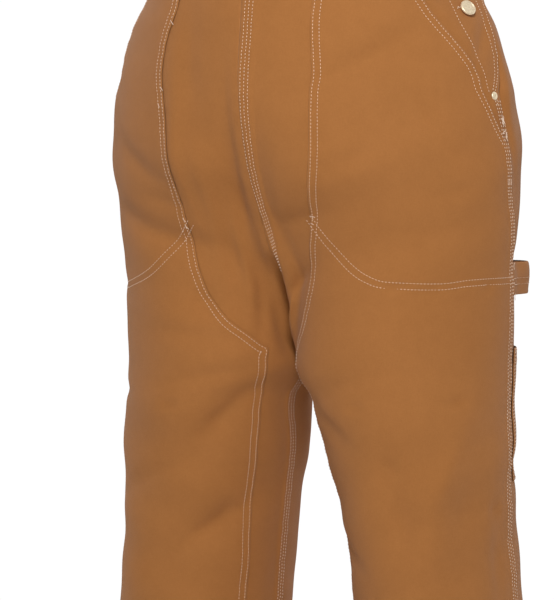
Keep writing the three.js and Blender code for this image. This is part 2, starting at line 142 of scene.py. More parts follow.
# an ellipse for each leg, its inseam a little forward and its outseam turned back
leg = table("above centreX centreY halfWidth halfDepth forward turn", [
    (-813, 170, 16, 90, 92, 0, 4),
    (-600, 162, 17, 88, 94, 2, 6),
    (-400, 153, 18, 86, 104, -5, 8),
    (-240, 140.5, 14, 82, 109, -8, 8),
    (-160, 132, 12, 84.5, 109, -4, 8),
    (-85, 124.5, 10, 93.5, 106, 8, 8),
    (-40, 120, 11, 97, 106, 21, 8),
    (0, 108.25, 13, 108.25, 110, 18, 7),
    (30, 108.25, 13, 108.25, 110, 18, 7),
])

doubleFrontEdge = table("above left right", [
    (-590, 0.078, 0.078),
    (-250, 0.078, 0.081),
    (-130, 0.08, 0.082),
    (-89, 0.078, 0.0825),
    (-63, 0.077, 0.0745),
    (-38, 0.076, 0.07),
    (-16, 0.077, 0.0855),
    (3, 0.079, 0.0935),
    (10, 0.0815, 0.0905),
    (14, 0.0835, 0.0885),
    (20, 0.0895, 0.102),
    (32, 0.104, 0.1225),
    (44, 0.113, 0.1435),
    (60, 0.1175, 0.1575),
    (76, 0.118, 0.166),
    (92, 0.114, 0.165),
    (129, 0.105, 0.155),
    (170, 0.103, 0.143),
    (210, 0.109, 0.138),
    (256, 0.116, 0.148),
    (285, 0.119, 0.158),
    (335, 0.117, 0.152),
    (375, 0.12, 0.132),
    (440, 0.13, 0.126),
])

pocketMouth = table("above around", [
    (228, 0.506),
    (258, 0.47),
    (279, 0.451),
    (324, 0.384),
    (371, 0.312),
    (446, 0.2),
])

topEdge = table("above bib back", [
    (440, 108, 108),
    (455, 106, 108.5),
    (470, 99, 112),
    (487, 84, 121),
    (508, 68, 129),
    (545, 55, 140),
    (600, 48, 150),
    (690, 46, 160),
])

# soft troughs and ridges: side, around, above, lean in degrees, length, width, depth
mainFolds = [
    (-1, 0.055, 200, 6, 190, 20, -4),
    (-1, 0.105, 175, 10, 170, 20, 3),
    (-1, 0.176, 60, -10, 70, 24, -4),
    (-1, 0.142, -60, -45, 110, 22, -5),
    (-1, 0.147, -175, -56, 120, 22, -5),
    (-1, 0.228, -227, -15, 90, 28, -4),
    (1, 0.216, 317, 63, 150, 20, -3),
    (1, 0.198, 255, 0, 110, 26, -3),
    (1, 0.199, 143, 0, 90, 26, -3),
    (1, 0.34, -145, 19, 170, 18, 5),
    (1, 0.395, -150, 12, 170, 26, -5),
    (1, 0.27, -140, -10, 110, 24, -4),
    (1, 0.25, -400, -35, 170, 26, -6),
    (-1, 0.27, -420, 30, 170, 26, -6),
    (1, 0.3, -640, 50, 150, 26, 6),
    (-1, 0.3, -660, -50, 150, 26, 6),
    (1, 0.16, -720, -30, 130, 24, -6),
    (-1, 0.18, -730, 25, 130, 24, -6),
    (1, 0.74, -330, 65, 170, 24, -6),
    (-1, 0.76, -350, -65, 170, 24, -6),
    (1, 0.7, -410, 70, 150, 22, 6),
    (-1, 0.7, -425, -68, 150, 22, 6),
    (1, 0.78, -480, -62, 150, 24, -6),
    (-1, 0.78, -500, 60, 150, 24, -6),
    (1, 0.85, 20, -48, 190, 24, -6),
    (-1, 0.85, 10, -46, 190, 24, -6),
    (1, 0.8, -70, -55, 170, 24, 5),
    (-1, 0.81, -80, -52, 170, 24, 5),
    (1, 0.84, 330, -8, 170, 24, -5),
    (-1, 0.8, 340, 10, 170, 24, -5),
    (1, 0.62, 330, 5, 150, 22, -4),
    (-1, 0.63, 340, 0, 150, 22, -4),
    (1, 0.7, -650, -40, 140, 24, -6),
    (-1, 0.72, -670, 45, 140, 24, -6),
    (-1, 0.93, -40, 0, 120, 42, 12),
    (1, 0.035, 55, 0, 100, 15, 10),
    (-1, 0.035, 60, 0, 110, 16, -8),
]

# finer creases and dents, in the same columns
fineCreases = [
    (-1, 0.031, 215, -3, 150, 9, -3),
    (-1, 0.048, 150, -12, 120, 7, -2.6),
    (-1, 0.086, 130, -16, 110, 8, -2.8),
    (-1, 0.111, 180, 2, 110, 10, -1.8),
    (-1, 0.128, 215, 4, 120, 9, 1.4),
    (-1, 0.07, 95, -16, 90, 9, 1.6),
    (-1, 0.077, 66, -19, 80, 8, -2.6),
    (-1, 0.1, 300, 3, 130, 12, -1.5),
    (-1, 0.176, 60, 0, 34, 10, -1.6),
    (-1, 0.142, -60, -45, 62, 8, -2),
    (-1, 0.147, -175, -56, 70, 8, -1.9),
    (-1, 0.17, -12, -78, 90, 9, -1.5),
    (-1, 0.2, 28, 84, 80, 9, -1.4),
    (-1, 0.19, 130, 80, 80, 9, -1.3),
    (-1, 0.185, 168, 76, 60, 8, -1.1),
    (-1, 0.23, -45, 88, 14, 4, -1.6),
    (-1, 0.13, -156, 0, 16, 4, -1.6),
    (-1, 0.24, 210, 60, 90, 11, -1.8),
    (-1, 0.28, 150, 66, 90, 11, -1.8),
    (-1, 0.26, -120, -66, 90, 10, -1.6),
    (1, 0.216, 317, 63, 90, 9, -1.3),
    (1, 0.17, 210, 68, 60, 9, -1.1),
    (1, 0.05, 118, -24, 70, 8, -1.4),
    (1, 0.062, 84, 60, 60, 8, -1.8),
    (1, 0.075, 150, 78, 60, 8, -1),
    (1, 0.31, 250, -28, 90, 11, -1.3),
    (1, 0.34, -118, 24, 80, 9, 1.8),
    (1, 0.263, -102, 10, 28, 8, -1.4),
    (1, 0.221, -39, 82, 15, 4, -1.7),
    (1, 0.376, -34, 84, 15, 4, -1.7),
    (1, 0.453, -147, 4, 15, 4, -1.7),
    (1, 0.273, 83, 78, 18, 4, -1.2),
    (1, 0.33, 80, 70, 16, 4, -1),
    (1, 0.43, 82, 60, 14, 4, -1.2),
    (1, 0.456, -200, 3, 90, 8, -1.2),
    (1, 0.276, -150, 0, 50, 9, -1.5),
    (1, 0.527, 268, -6, 110, 6, -3.6),
    (1, 0.06, 165, 0, 130, 24, 2),
    (1, 0.45, 330, 35, 60, 9, -1.2),
    (1, 0.38, 395, 40, 70, 10, -1.6),
    (1, 0.2, -20, 74, 90, 10, -1.2),
    (1, 0.15, -60, -52, 70, 9, -1.5),
    (1, 0.13, -190, -55, 80, 9, -1.5),
    (1, 0.36, 180, 80, 70, 10, -1),
    (-1, 0.535, 258, 5, 140, 9, -2.2),
    (-1, 0.38, -36, 80, 60, 9, -1.4),
    (-1, 0.42, 90, 62, 90, 10, -1.6),
    (1, 0.6, 120, 70, 120, 11, -2),
    (1, 0.67, 60, -74, 110, 11, -2),
    (1, 0.8, 150, 66, 140, 12, -2.2),
    (1, 0.92, 70, -30, 110, 11, -2.4),
    (1, 0.6, -120, -60, 90, 10, -1.8),
    (1, 0.74, -300, 78, 110, 9, -2.2),
    (1, 0.8, -365, -70, 120, 9, -2.2),
    (1, 0.66, -340, 60, 90, 9, -1.8),
    (1, 0.85, -440, -64, 90, 9, -1.8),
    (-1, 0.6, 110, -70, 120, 11, -2),
    (-1, 0.69, 55, 72, 110, 11, -2),
    (-1, 0.8, 140, -64, 140, 12, -2.2),
    (-1, 0.91, 75, 28, 110, 11, -2.4),
    (-1, 0.61, -130, 62, 90, 10, -1.8),
    (-1, 0.75, -315, -76, 110, 9, -2.2),
    (-1, 0.79, -380, 68, 120, 9, -2.2),
    (-1, 0.65, -350, -62, 90, 9, -1.8),
    (-1, 0.84, -455, 60, 90, 9, -1.8),
    (1, 0.2, -330, 70, 110, 11, -2),
    (1, 0.31, -365, -64, 120, 11, -2.2),
    (1, 0.18, -470, 58, 100, 10, -1.8),
    (-1, 0.19, -340, -68, 110, 11, -2),
    (-1, 0.3, -372, 66, 120, 11, -2.2),
    (-1, 0.22, -480, -56, 100, 10, -1.8),
    (1, 0.36, -700, 60, 90, 10, -2),
    (1, 0.24, -760, -58, 90, 10, -2.2),
    (-1, 0.35, -705, -62, 90, 10, -2),
    (-1, 0.23, -765, 55, 90, 10, -2.2),
    (1, 0.62, -720, 55, 100, 10, -2),
    (1, 0.82, -750, -60, 100, 10, -2),
    (-1, 0.63, -725, -57, 100, 10, -2),
    (-1, 0.81, -745, 58, 100, 10, -2),
]


def fork(above, start, spread, turn):
    share = np.clip((start - above) / start, 0, 1)
    return 1 - (1 - share ** spread) ** (1 / turn)


def trunkPoint(angle, above):
    angle, above = np.broadcast_arrays(np.asarray(angle, float), np.asarray(above, float))
    depth = np.where(np.cos(angle) > 0, trunk["front"](above), trunk["back"](above))
    x = trunk["halfWidth"](above) * np.sin(angle)
    return np.stack([x, -depth * np.cos(angle), above + garment["crotchZ"]], -1)


def sideAngle(around, above):
    side = trunk["side"](above) * degree
    return np.where(around < 0.5, 2 * around * side, side + (2 * around - 1) * (math.pi - side))


crotch = {"front": (1.6, 1.4), "seat": (2.6, 1.6), "seamReach": 0.11}  # how each seam forks into the legs


def legShareAt(around, above):
    blend = ease(around)
    front = fork(above, garment["frontSeamStart"], *crotch["front"])
    seat = fork(above, garment["seatSeamStart"], *crotch["seat"])
    seams = front * (1 - blend) + seat * blend
    away = ease(np.minimum(around, 1 - around) / crotch["seamReach"])
    share = seams * (1 - away) + (1 - ease(above / garment["thighReach"])) * away
    return np.where(above <= 0, 1, share)


# a point of either half, drawn as the left one
def bodyPoint(side, around, above):
    turnRound = 2 * math.pi * around
    inseamShare = (1 + np.cos(turnRound)) / 2
    turn = turnRound + leg["turn"](above) * degree * (1 - inseamShare)
    share = legShareAt(around, above)
    wider = np.where(side < 0, garment["rightLegWider"] * ease(-above / garment["widerOver"]), 0)
    isTrunk = above > 0
    width = np.where(isTrunk, trunk["halfWidth"](above) / 2, leg["halfWidth"](above) + wider)
    centre = np.where(isTrunk, width, leg["centreX"](above))
    soft = 0.5 * (1 - share) * inseamShare
    across = np.sin(turn)
    rounded = (np.hypot(across, soft) - soft) / (np.hypot(1, soft) - soft)
    depth = (leg["halfDepth"](above) - wider) * np.sign(across) * rounded
    legX = centre - width * np.cos(turn)
    legY = leg["centreY"](above) - depth - leg["forward"](above) * inseamShare
    onTrunk = trunkPoint(sideAngle(around, above), np.maximum(above, 0))
    x = onTrunk[..., 0] * (1 - share) + legX * share
    y = onTrunk[..., 1] * (1 - share) + legY * share
    return np.stack([x, y, above + garment["crotchZ"]], -1)


def unit(vector):
    return vector / np.linalg.norm(vector, axis=-1, keepdims=True)


def outwardOf(surface, across, above):
    sideStep = 1e-4
    rise = 0.4
    along = surface(across + sideStep, above) - surface(across - sideStep, above)
    up = surface(across, above + rise) - surface(across, above - rise)
    return unit(np.cross(along, up))


unevenness = {"height": 0.42, "waves": 7, "shortest": 46, "longest": 170, "seed": 4}


# slow waves too shallow to be folds, different on each half
def uneven(side, across, up):
    draw = np.random.default_rng(unevenness["seed"])
    height = 0
    for _ in range(unevenness["waves"]):
        length = draw.uniform(unevenness["shortest"], unevenness["longest"])
        heading = draw.uniform(0, math.pi)
        shift = draw.uniform(0, 6.3) + side
        along = across * math.cos(heading) + up * math.sin(heading)
        height = height + np.sin(along * 6.283 / length + shift)
    return height * unevenness["height"]


creaseDepth = 2.2
foldFade = 0.05  # folds die away this near a centre seam or an inseam


def relief(side, around, above):
    height = uneven(side, around * garment["girth"], above)
    creases = [(*crease[:6], crease[6] * creaseDepth) for crease in fineCreases]
    for foldSide, place, level, lean, length, width, depth in mainFolds + creases:
        across = apart(around, place)
        up = above - level
        cos, sin = math.cos(lean * degree), math.sin(lean * degree)
        off = (across * cos - up * sin) / width
        along = (across * sin + up * cos) / (length / 2)
        height = height + np.where(side == foldSide, depth * np.exp(-off * off - along * along), 0)
    return height * ease(np.minimum(around, 1 - around) / foldFade)


groove = {  # where the left thigh hides the foot of the centre-front seam
    "depth": 22, "leftWidth": 6, "rightWidth": 15, "fadeIn": 25, "top": 82, "fadeOut": 40,
}


# A place past a centre seam lies on the other half; past an inseam it wraps round the same leg.
def clothPoint(side, around, above, offset, withNormal=False):
    side, around, above, offset = (
        np.array(part, float) for part in np.broadcast_arrays(side, around, above, offset)
    )
    over = (around < 0) | (around > 1)
    crossed = over & (above > 0)
    folded = np.where(around < 0, -around, np.where(around > 1, 2 - around, around))
    wrapped = np.where(over, around - np.floor(around), around)
    share = np.where(above > 0, folded, wrapped)
    half = np.where(crossed, -side, side)
    point = bodyPoint(half, share, above)
    normal = outwardOf(lambda a, h: bodyPoint(half, a, h), share, above)
    point = point + normal * (relief(half, share, above) + offset)[..., None]
    width = np.where(half > 0, groove["leftWidth"], groove["rightWidth"])
    fade = ease(above / groove["fadeIn"]) * (1 - ease((above - groove["top"]) / groove["fadeOut"]))
    point[..., 1] += groove["depth"] * fade * np.exp(-(share * garment["girth"] / width) ** 2)
    least = np.where(crossed, 0, garment["seamGap"] / 2)
    point[..., 0] = half * np.maximum(point[..., 0], least)
    normal[..., 0] = half * normal[..., 0]
    return (point, normal) if withNormal else point


seam = {
    "lap": 6.5,            # how far the upper panel reaches past the seam
    "height": 1.3,         # how proud the felled band stands
    "shoulder": 3,
    "rows": (-4.7, -0.2, 4.3),
    "pucker": 0.28,
    "puckerReach": 11,
    "trunkLap": (25, 60),  # where the laps begin above the crotch, and how soon they are full
    "legLap": (8, 30),     # the same down the inseams
    "frontLap": 0.2,       # the centre front's share of a full lap
    "tuck": 0.3,
}
hem = {"depth": 24, "height": 0.9, "rows": (21, 15)}
mouthGape = {
    "height": 1.4, "above": 310, "reach": 52, "width": 10, "slant": 0.75, "foot": 225, "fade": 30,
    "hollow": 1.8, "hollowAt": 3, "hollowWidth": 5,
}
openingLift = {"height": 2.2, "width": 15, "fade": 30}
secondLayer = {"seamLift": 0.5, "dip": 0.3, "dipAt": 5, "dipWidth": 2.4}

centreRows = [  # above, around, how far apart the three rows are seen
    (438, 0.018, 0.9), (342, 0.014, 0.9), (284, 0.009, 0.9), (225, 0.005, 0.9), (190, 0.004, 0.85),
    (171, 0.005, 0.75), (149, 0.008, 0.65), (128, 0.011, 0.5), (98, 0.013, 0.35),
]
centreAt = smoothCurve([row[0] for row in centreRows[::-1]], [row[1] for row in centreRows[::-1]])


def band(distance):
    return 1 - ease((np.abs(distance) - seam["lap"]) / seam["shoulder"])


puckerWaves = ((1, 2.3, 1), (0.7, 3.7, 2), (0.5, 8.1, 1))  # height, millimetres to a radian, times the phase
puckerPhase = {"centre": 1.0, "outseam": 2.2, "doubleFront": 3.1, "mouth": 0.4, "seat": 0.3}


def pucker(distance, along, row):
    phase = puckerPhase[row]
    wave = sum(height * np.sin(along / length + turns * phase) for height, length, turns in puckerWaves)
    return seam["pucker"] * wave * np.exp(-(distance / seam["puckerReach"]) ** 2)


def trunkLap(above):
    start, over = seam["trunkLap"]
    return ease((above - start) / over)


def legLap(above):
    start, over = seam["legLap"]
    return ease((-above - start) / over)


def hemLift(above):
    return hem["height"] * (1 - ease((above + garment["inseam"] - hem["depth"]) / 3))


def frontOffset(side, around, above):
    aside = np.where(side > 0, centreAt(above) * ease(above / groove["fadeIn"]), 0)
    fromCentre = apart(around, aside)
    fromOutseam = apart(around, outseam)
    upper = np.where(above > 0, side > 0, True)
    lift = np.where(upper, seam["height"] * band(fromCentre) * (trunkLap(above) + legLap(above)), 0)
    lift = lift + seam["height"] * band(fromOutseam) * ease((garment["doubleFrontEnd"] - above) / 6)
    lift = lift + hemLift(above) + pucker(fromCentre, above, "centre")
    pastMouth = apart(around, pocketMouth["around"](above)) - mouthGape["hollowAt"]
    hollow = mouthGape["hollow"] * np.exp(-(pastMouth / mouthGape["hollowWidth"]) ** 2)
    lift = lift - hollow * ease((above - mouthGape["foot"]) / mouthGape["fade"])
    opening = ease((above - garment["openingFoot"]) / openingLift["fade"])
    lift = lift + openingLift["height"] * np.exp(-(fromOutseam / openingLift["width"]) ** 2) * opening
    return lift + pucker(fromOutseam, above, "outseam")


def overlayOffset(side, around, above):
    fromOutseam = apart(around, outseam)
    edge = np.where(side > 0, doubleFrontEdge["left"](above), doubleFrontEdge["right"](above))
    fromEdge = apart(around, edge)
    fromMouth = apart(pocketMouth["around"](above), around) * mouthGape["slant"]
    dip = secondLayer["dip"] * np.exp(-((fromEdge - secondLayer["dipAt"]) / secondLayer["dipWidth"]) ** 2)
    lift = garment["overlayTop"] + secondLayer["seamLift"] * band(fromOutseam) - dip
    lift = lift + pucker(fromOutseam, above, "outseam") + 0.8 * pucker(fromEdge - 4, above, "doubleFront")
    gape = np.exp(-((above - mouthGape["above"]) / mouthGape["reach"]) ** 2)
    lift = lift + mouthGape["height"] * gape * np.exp(-(fromMouth / mouthGape["width"]) ** 2)
    return lift + np.where(above > mouthGape["foot"], 0.7 * pucker(fromMouth - 5, above, "mouth"), 0)


def backOffset(side, around, above):
    fromCentre = apart(around, 1)
    fromOutseam = apart(around, outseam)
    upper = (above > 0) & (side > 0)
    lift = np.where(upper, seam["height"] * band(fromCentre) * trunkLap(above), 0)
    lift = lift + hemLift(above) + pucker(fromCentre, above, "seat")
    tuck = np.where(above < garment["openingFoot"], -seam["tuck"] * band(fromOutseam), 0)
    return lift + tuck + pucker(fromOutseam, above, "outseam")


def addObject(name, data):
    obj = bpy.data.objects.new(name, data)
    bpy.context.scene.collection.objects.link(obj)
    return obj


def smoothObject(name, mesh):
    mesh.polygons.foreach_set("use_smooth", [True] * len(mesh.polygons))
    return addObject(name, mesh)


def addMarks(mesh, name, values):
    marks = mesh.attributes.new(name, "FLOAT", "POINT")
    marks.data.foreach_set("value", values)


def signedVolume(points, faces):
    a, b, c, d = (points[faces[:, i]] for i in range(4))
    first = np.einsum("ij,ij->i", a, np.cross(b, c))
    second = np.einsum("ij,ij->i", a, np.cross(c, d))
    return first.sum() + second.sum()


# a closed wall between two grids of points, with its place on the cut cloth as UV, in metres
def wallMesh(name, outer, inner, uv, wear):
    rows, columns = outer.shape[:2]
    count = rows * columns
    points = np.concatenate([outer.reshape(-1, 3), inner.reshape(-1, 3)]) * mm
    at = np.arange(count).reshape(rows, columns)
    a, b, c, d = at[:-1, :-1], at[:-1, 1:], at[1:, 1:], at[1:, :-1]
    ring = np.concatenate([at[0, :-1], at[:-1, -1], at[-1, :0:-1], at[:0:-1, 0]])
    after = np.roll(ring, -1)
    faces = np.concatenate([
        np.stack([a, b, c, d], -1).reshape(-1, 4),
        np.stack([a, d, c, b], -1).reshape(-1, 4) + count,
        np.stack([ring, ring + count, after + count, after], -1),
    ])
    if signedVolume(points, faces) < 0:
        faces = faces[:, ::-1]
    mesh = bpy.data.meshes.new(name)
    mesh.from_pydata(points.tolist(), [], faces.tolist())
    corners = np.zeros(len(mesh.loops), int)
    mesh.loops.foreach_get("vertex_index", corners)
    places = np.tile(uv.reshape(-1, 2) * mm, (2, 1))
    layer = mesh.uv_layers.new(name="cut")
    layer.data.foreach_set("uv", places[corners].ravel())
    edge = wear.ravel()
    addMarks(mesh, "wear", np.tile(edge, 2))
    # gap is painted shade: the inner face darkens towards its rim, a painted contact shadow where one layer
    # lies on another
    addMarks(mesh, "gap", np.concatenate([0 * edge, np.clip(2 * edge, 0, 1)]))
    mesh.update()
    return smoothObject(name, mesh)


edgeSteps = (0, 0.6, 1.6, 3, 5, 7, 9, 11, 13, 14.5, 16.5, 20)
edgeRoll = {"reach": 1.2, "outer": 0.3, "inner": 0.15}  # the edge looks rolled and not cut square
lapThickness = 0.65


def columnShares(first, last, count):
    steps = np.array(edgeSteps) / garment["girth"]
    narrow = np.minimum(1, (last - first) / (3 * steps[-1]))[:, None]
    head = first[:, None] + steps * narrow
    tail = last[:, None] - steps[::-1] * narrow
    share = np.linspace(0, 1, count + 2)[1:-1]
    middle = head[:, -1:] + (tail[:, :1] - head[:, -1:]) * share
    return np.hstack([head, middle, tail])


def rowHeights(low, high, step=5):
    near = np.array(edgeSteps[:5])
    inner = np.linspace(low + near[-1], high - near[-1], int((high - low) / step))[1:-1]
    return np.concatenate([low + near, inner, high - near[::-1]])


def rolled(distance):
    return 1 - ease(distance / edgeRoll["reach"])


def clothPanel(name, side, low, high, firstAt, lastAt, count, offsetAt, thickness):
    above = rowHeights(low, high)
    first = firstAt(above)
    last = lastAt(above)
    around = columnShares(first, last, count)
    heights = np.broadcast_to(above[:, None], around.shape)
    rim = np.minimum(apart(around, first[:, None]), apart(last[:, None], around))
    rim = np.minimum(rim, np.minimum(heights - low, high - heights))
    roll = thickness * rolled(rim)
    offset = offsetAt(side, around, heights)
    depth = np.where((around < 0) | (around > 1), lapThickness * thickness, thickness)
    outer = clothPoint(side, around, heights, offset - edgeRoll["outer"] * roll)
    inner = clothPoint(side, around, heights, offset - depth + edgeRoll["inner"] * roll)
    uv = np.stack([around * garment["girth"], heights], -1)
    return wallMesh(name, outer, inner, uv, 0.5 * (1 - ease(rim / 2)))


def setInput(tree, socket, value):
    if isinstance(value, bpy.types.NodeSocket):
        tree.links.new(value, socket)
    else:
        socket.default_value = value


# inputs by number in numbered, the others by name
def addNode(tree, kind, settings=None, numbered=None, **named):
    node = tree.nodes.new(kind)
    for key, value in (settings or {}).items():
        setattr(node, key, value)
    for key, value in [*(numbered or {}).items(), *named.items()]:
        setInput(tree, node.inputs[key], value)
    return node


def maths(tree, operation, *values, clamp=False):
    settings = {"operation": operation, "use_clamp": clamp}
    return addNode(tree, "ShaderNodeMath", settings, dict(enumerate(values))).outputs[0]


def mixColours(tree, share, first, second):
    mix = addNode(tree, "ShaderNodeMix", {"data_type": "RGBA"}, {0: share, 6: first, 7: second})
    return mix.outputs[2]


def noise(tree, vector, scale, detail):
    return addNode(tree, "ShaderNodeTexNoise", Vector=vector, Scale=scale, Detail=detail).outputs[0]


def newShader(name):
    material = bpy.data.materials.new(name)
    material.use_nodes = True
    tree = material.node_tree
    tree.nodes.clear()
    output = tree.nodes.new("ShaderNodeOutputMaterial")
    shader = tree.nodes.new("ShaderNodeBsdfPrincipled")
    tree.links.new(shader.outputs[0], output.inputs[0])
    return material, tree, shader


def dressShader(tree, shader, settings):
    for name, value in settings.items():
        setInput(tree, shader.inputs[name], value)


duckCloth = {
    "dark": (0.262, 0.1, 0.0245, 1),
    "light": (0.39, 0.157, 0.046, 1),
    "worn": (0.44, 0.21, 0.08, 1),
    # painted shade: the near-black of the painted contact shadow along each rim where layers meet
    "gap": (0.035, 0.014, 0.006, 1),
    "thread": 0.62 * mm,  # from one warp thread to the next
    "slubs": ((1900, 130, 1), (130, 1900, 1)),
    "grain": 0.34,
    "blotch": 0.34,
    "mottle": 0.26,
    "speck": 0.4,
    "weave": 0.05,
    "toneDrop": 0.34,
    "rub": 0.75,
    "roughness": 0.88,
    "sheen": 0.08,
    "bump": 0.35,
}


def makeDuck(name):
    material, tree, shader = newShader(name)
    place = addNode(tree, "ShaderNodeTexCoord")
    split = addNode(tree, "ShaderNodeSeparateXYZ", Vector=place.outputs["UV"])
    beat = 2 * math.pi / duckCloth["thread"]
    warp = maths(tree, "SINE", maths(tree, "MULTIPLY", split.outputs[0], beat))
    weft = maths(tree, "SINE", maths(tree, "MULTIPLY", split.outputs[1], beat))
    weave = maths(tree, "MULTIPLY", warp, weft)
    slubs = []
    for scale in duckCloth["slubs"]:
        stretched = addNode(tree, "ShaderNodeMapping", Vector=place.outputs["UV"], Scale=scale)
        slubs.append(noise(tree, stretched.outputs[0], 1.0, 2.0))
    grain = maths(tree, "ADD", *slubs)
    blotch = noise(tree, place.outputs["Object"], 9.0, 3.0)
    mottle = noise(tree, place.outputs["Object"], 85.0, 4.0)
    speck = noise(tree, place.outputs["Object"], 620.0, 2.0)
    tone = maths(tree, "MULTIPLY", grain, duckCloth["grain"])
    for source, key in ((blotch, "blotch"), (mottle, "mottle"), (speck, "speck"), (weave, "weave")):
        tone = maths(tree, "ADD", tone, maths(tree, "MULTIPLY", source, duckCloth[key]))
    tone = maths(tree, "SUBTRACT", tone, duckCloth["toneDrop"], clamp=True)
    colour = mixColours(tree, tone, duckCloth["dark"], duckCloth["light"])
    marks = addNode(tree, "ShaderNodeAttribute", {"attribute_name": "wear"})
    rub = maths(tree, "MULTIPLY", marks.outputs["Fac"], maths(tree, "MULTIPLY", mottle, duckCloth["rub"]))
    colour = mixColours(tree, rub, colour, duckCloth["worn"])
    # painted shade: near-black mixed in by the gap marks on the inner face near each rim, standing in for the
    # shadow between layers
    paintedGapShade = addNode(tree, "ShaderNodeAttribute", {"attribute_name": "gap"})
    colour = mixColours(tree, paintedGapShade.outputs["Fac"], colour, duckCloth["gap"])
    height = maths(tree, "ADD", weave, maths(tree, "MULTIPLY", grain, 1.6))
    bump = addNode(tree, "ShaderNodeBump", Strength=duckCloth["bump"], Distance=0.12 * mm, Height=height)
    dressShader(tree, shader, {
        "Base Color": colour, "Normal": bump.outputs[0], "Roughness": duckCloth["roughness"],
        "Sheen Weight": duckCloth["sheen"], "Sheen Roughness": 0.5, "Specular IOR Level": 0.12,
    })
    return material


sewingThread = {
    "light": (0.9, 0.72, 0.57, 1), "dark": (0.64, 0.44, 0.31, 1), "roughness": 0.6, "sheen": 0.1,
}


def makeThread(name):
    material, tree, shader = newShader(name)
    place = addNode(tree, "ShaderNodeTexCoord")
    patches = noise(tree, place.outputs["Object"], 180.0, 2.0)
    twist = noise(tree, place.outputs["Object"], 2600.0, 1.0)
    bump = addNode(tree, "ShaderNodeBump", Strength=0.3, Distance=0.1 * mm, Height=twist)
    dressShader(tree, shader, {
        "Base Color": mixColours(tree, patches, sewingThread["dark"], sewingThread["light"]),
        "Normal": bump.outputs[0],
        "Roughness": sewingThread["roughness"],
        "Sheen Weight": sewingThread["sheen"],
    })
    return material


paleBrass = {"light": (0.9, 0.76, 0.54, 1), "dark": (0.62, 0.48, 0.31, 1), "roughness": 0.42, "metallic": 0.6}


def makeBrass(name):
    material, tree, shader = newShader(name)
    place = addNode(tree, "ShaderNodeTexCoord")
    mottle = noise(tree, place.outputs["Object"], 700.0, 4.0)
    dimple = addNode(tree, "ShaderNodeTexVoronoi", Vector=place.outputs["Object"], Scale=1100.0)
    tone = maths(tree, "SUBTRACT", maths(tree, "MULTIPLY", mottle, 2.2), 0.45, clamp=True)
    height = maths(tree, "ADD", mottle, maths(tree, "MULTIPLY", dimple.outputs[0], 0.6))
    bump = addNode(tree, "ShaderNodeBump", Strength=0.6, Distance=0.2 * mm, Height=height)
    dressShader(tree, shader, {
        "Base Color": mixColours(tree, tone, paleBrass["dark"], paleBrass["light"]),
        "Normal": bump.outputs[0], "Roughness": paleBrass["roughness"], "Metallic": paleBrass["metallic"],
    })
    return material


duck = makeDuck("brownDuck")
thread = makeThread("beigeThread")
brass = makeBrass("paleBrass")
print("overalls: materials made")


def finishPiece(obj, material, slot, *nodes):
    obj.data.materials.clear()
    obj.data.materials.append(material)
    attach(obj, "root")
    if nodes:
        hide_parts(*nodes)
    return obj


sideNames = {1: "left", -1: "right"}


def finishCloth(obj, node):
    finishPiece(obj, duck, "duck", node)


placketSpan = (0.42, 0.498)


def makePanels(side):
    name = sideNames[side]
    gap = garment["seamGap"] / 2 / garment["girth"]
    lap = seam["lap"] / garment["girth"]
    wall = garment["wall"]
    foot = -garment["inseam"]
    high = garment["waistSeam"] - garment["seamGap"] / 2
    under = f"front_panel_{name}"

    def frontFirst(above):
        reach = np.where(above > 0, seam["frontLap"] * (side > 0) * trunkLap(above), legLap(above))
        return gap - (lap + gap) * reach

    def frontLast(above):
        return outseam - gap + (lap + gap) * ease((garment["doubleFrontEnd"] + 2 - above) / 4)

    def overlayLast(above):
        mouth = np.where(above > mouthGape["foot"] + 1, pocketMouth["around"](above), 1)
        return np.minimum(outseam + lap, mouth)

    def backLast(above):
        reach = np.where(above > 0, (side > 0) * trunkLap(above), 0)
        return 1 - gap + (lap + gap) * reach

    def placketOffset(half, around, above):
        return frontOffset(half, around, above) - wall - garment["seamGap"]

    placketEdges = [steady(share) for share in placketSpan]
    # piece, node, cut, what it rests on, foot, both edges, columns, offset, thickness
    for piece, node, cut, restsOn, low, edges, count, offsetAt, thickness in (
        ("front_panel", "front", "front", "bib_panel", foot, (frontFirst, frontLast), 44, frontOffset, wall),
        (
            "back_panel", "back", "back", "high_back", foot, (steady(outseam + gap), backLast), 44,
            backOffset, wall,
        ),
        (
            "double_front_layer", "double_front", "doubleFront", under, garment["doubleFrontEnd"],
            (doubleFrontEdge[name], overlayLast), 32, overlayOffset, garment["overlayWall"],
        ),
        (
            "placket_facing", "side_placket", "placket", under, garment["openingFoot"], placketEdges, 6,
            placketOffset, wall,
        ),
    ):
        panel = clothPanel(f"{piece}_{name}", side, low, high, *edges, count, offsetAt, thickness)
        finishCloth(panel, f"{node}_{name}")


for half in (1, -1):
    makePanels(half)
print("overalls: leg and hip panels made")


toolPocket = {
    "first": 0.53, "last": 0.7, "foot": -122, "mouth": 16, "slack": 1.4, "thickness": 1.6, "hem": 16,
}
hammerLoop = {
    "low": 72, "high": 106, "start": 0.53, "end": 0.665, "last": 0.7, "bow": 16, "sag": 1.6, "tuck": 2,
    "thickness": 2.2,
}


def toolPocketOffset(side, around, above):
    width = toolPocket["last"] - toolPocket["first"]
    across = np.sin(np.pi * np.clip((around - toolPocket["first"]) / width, 0, 1))
    share = np.clip((above - toolPocket["foot"]) / (toolPocket["mouth"] - toolPocket["foot"]), 0, 1)
    doubled = 0.5 * (1 - ease((toolPocket["mouth"] - above - toolPocket["hem"]) / 2))
    slack = toolPocket["slack"] * across * np.sqrt(share)
    return garment["seamGap"] + toolPocket["thickness"] + slack + doubled


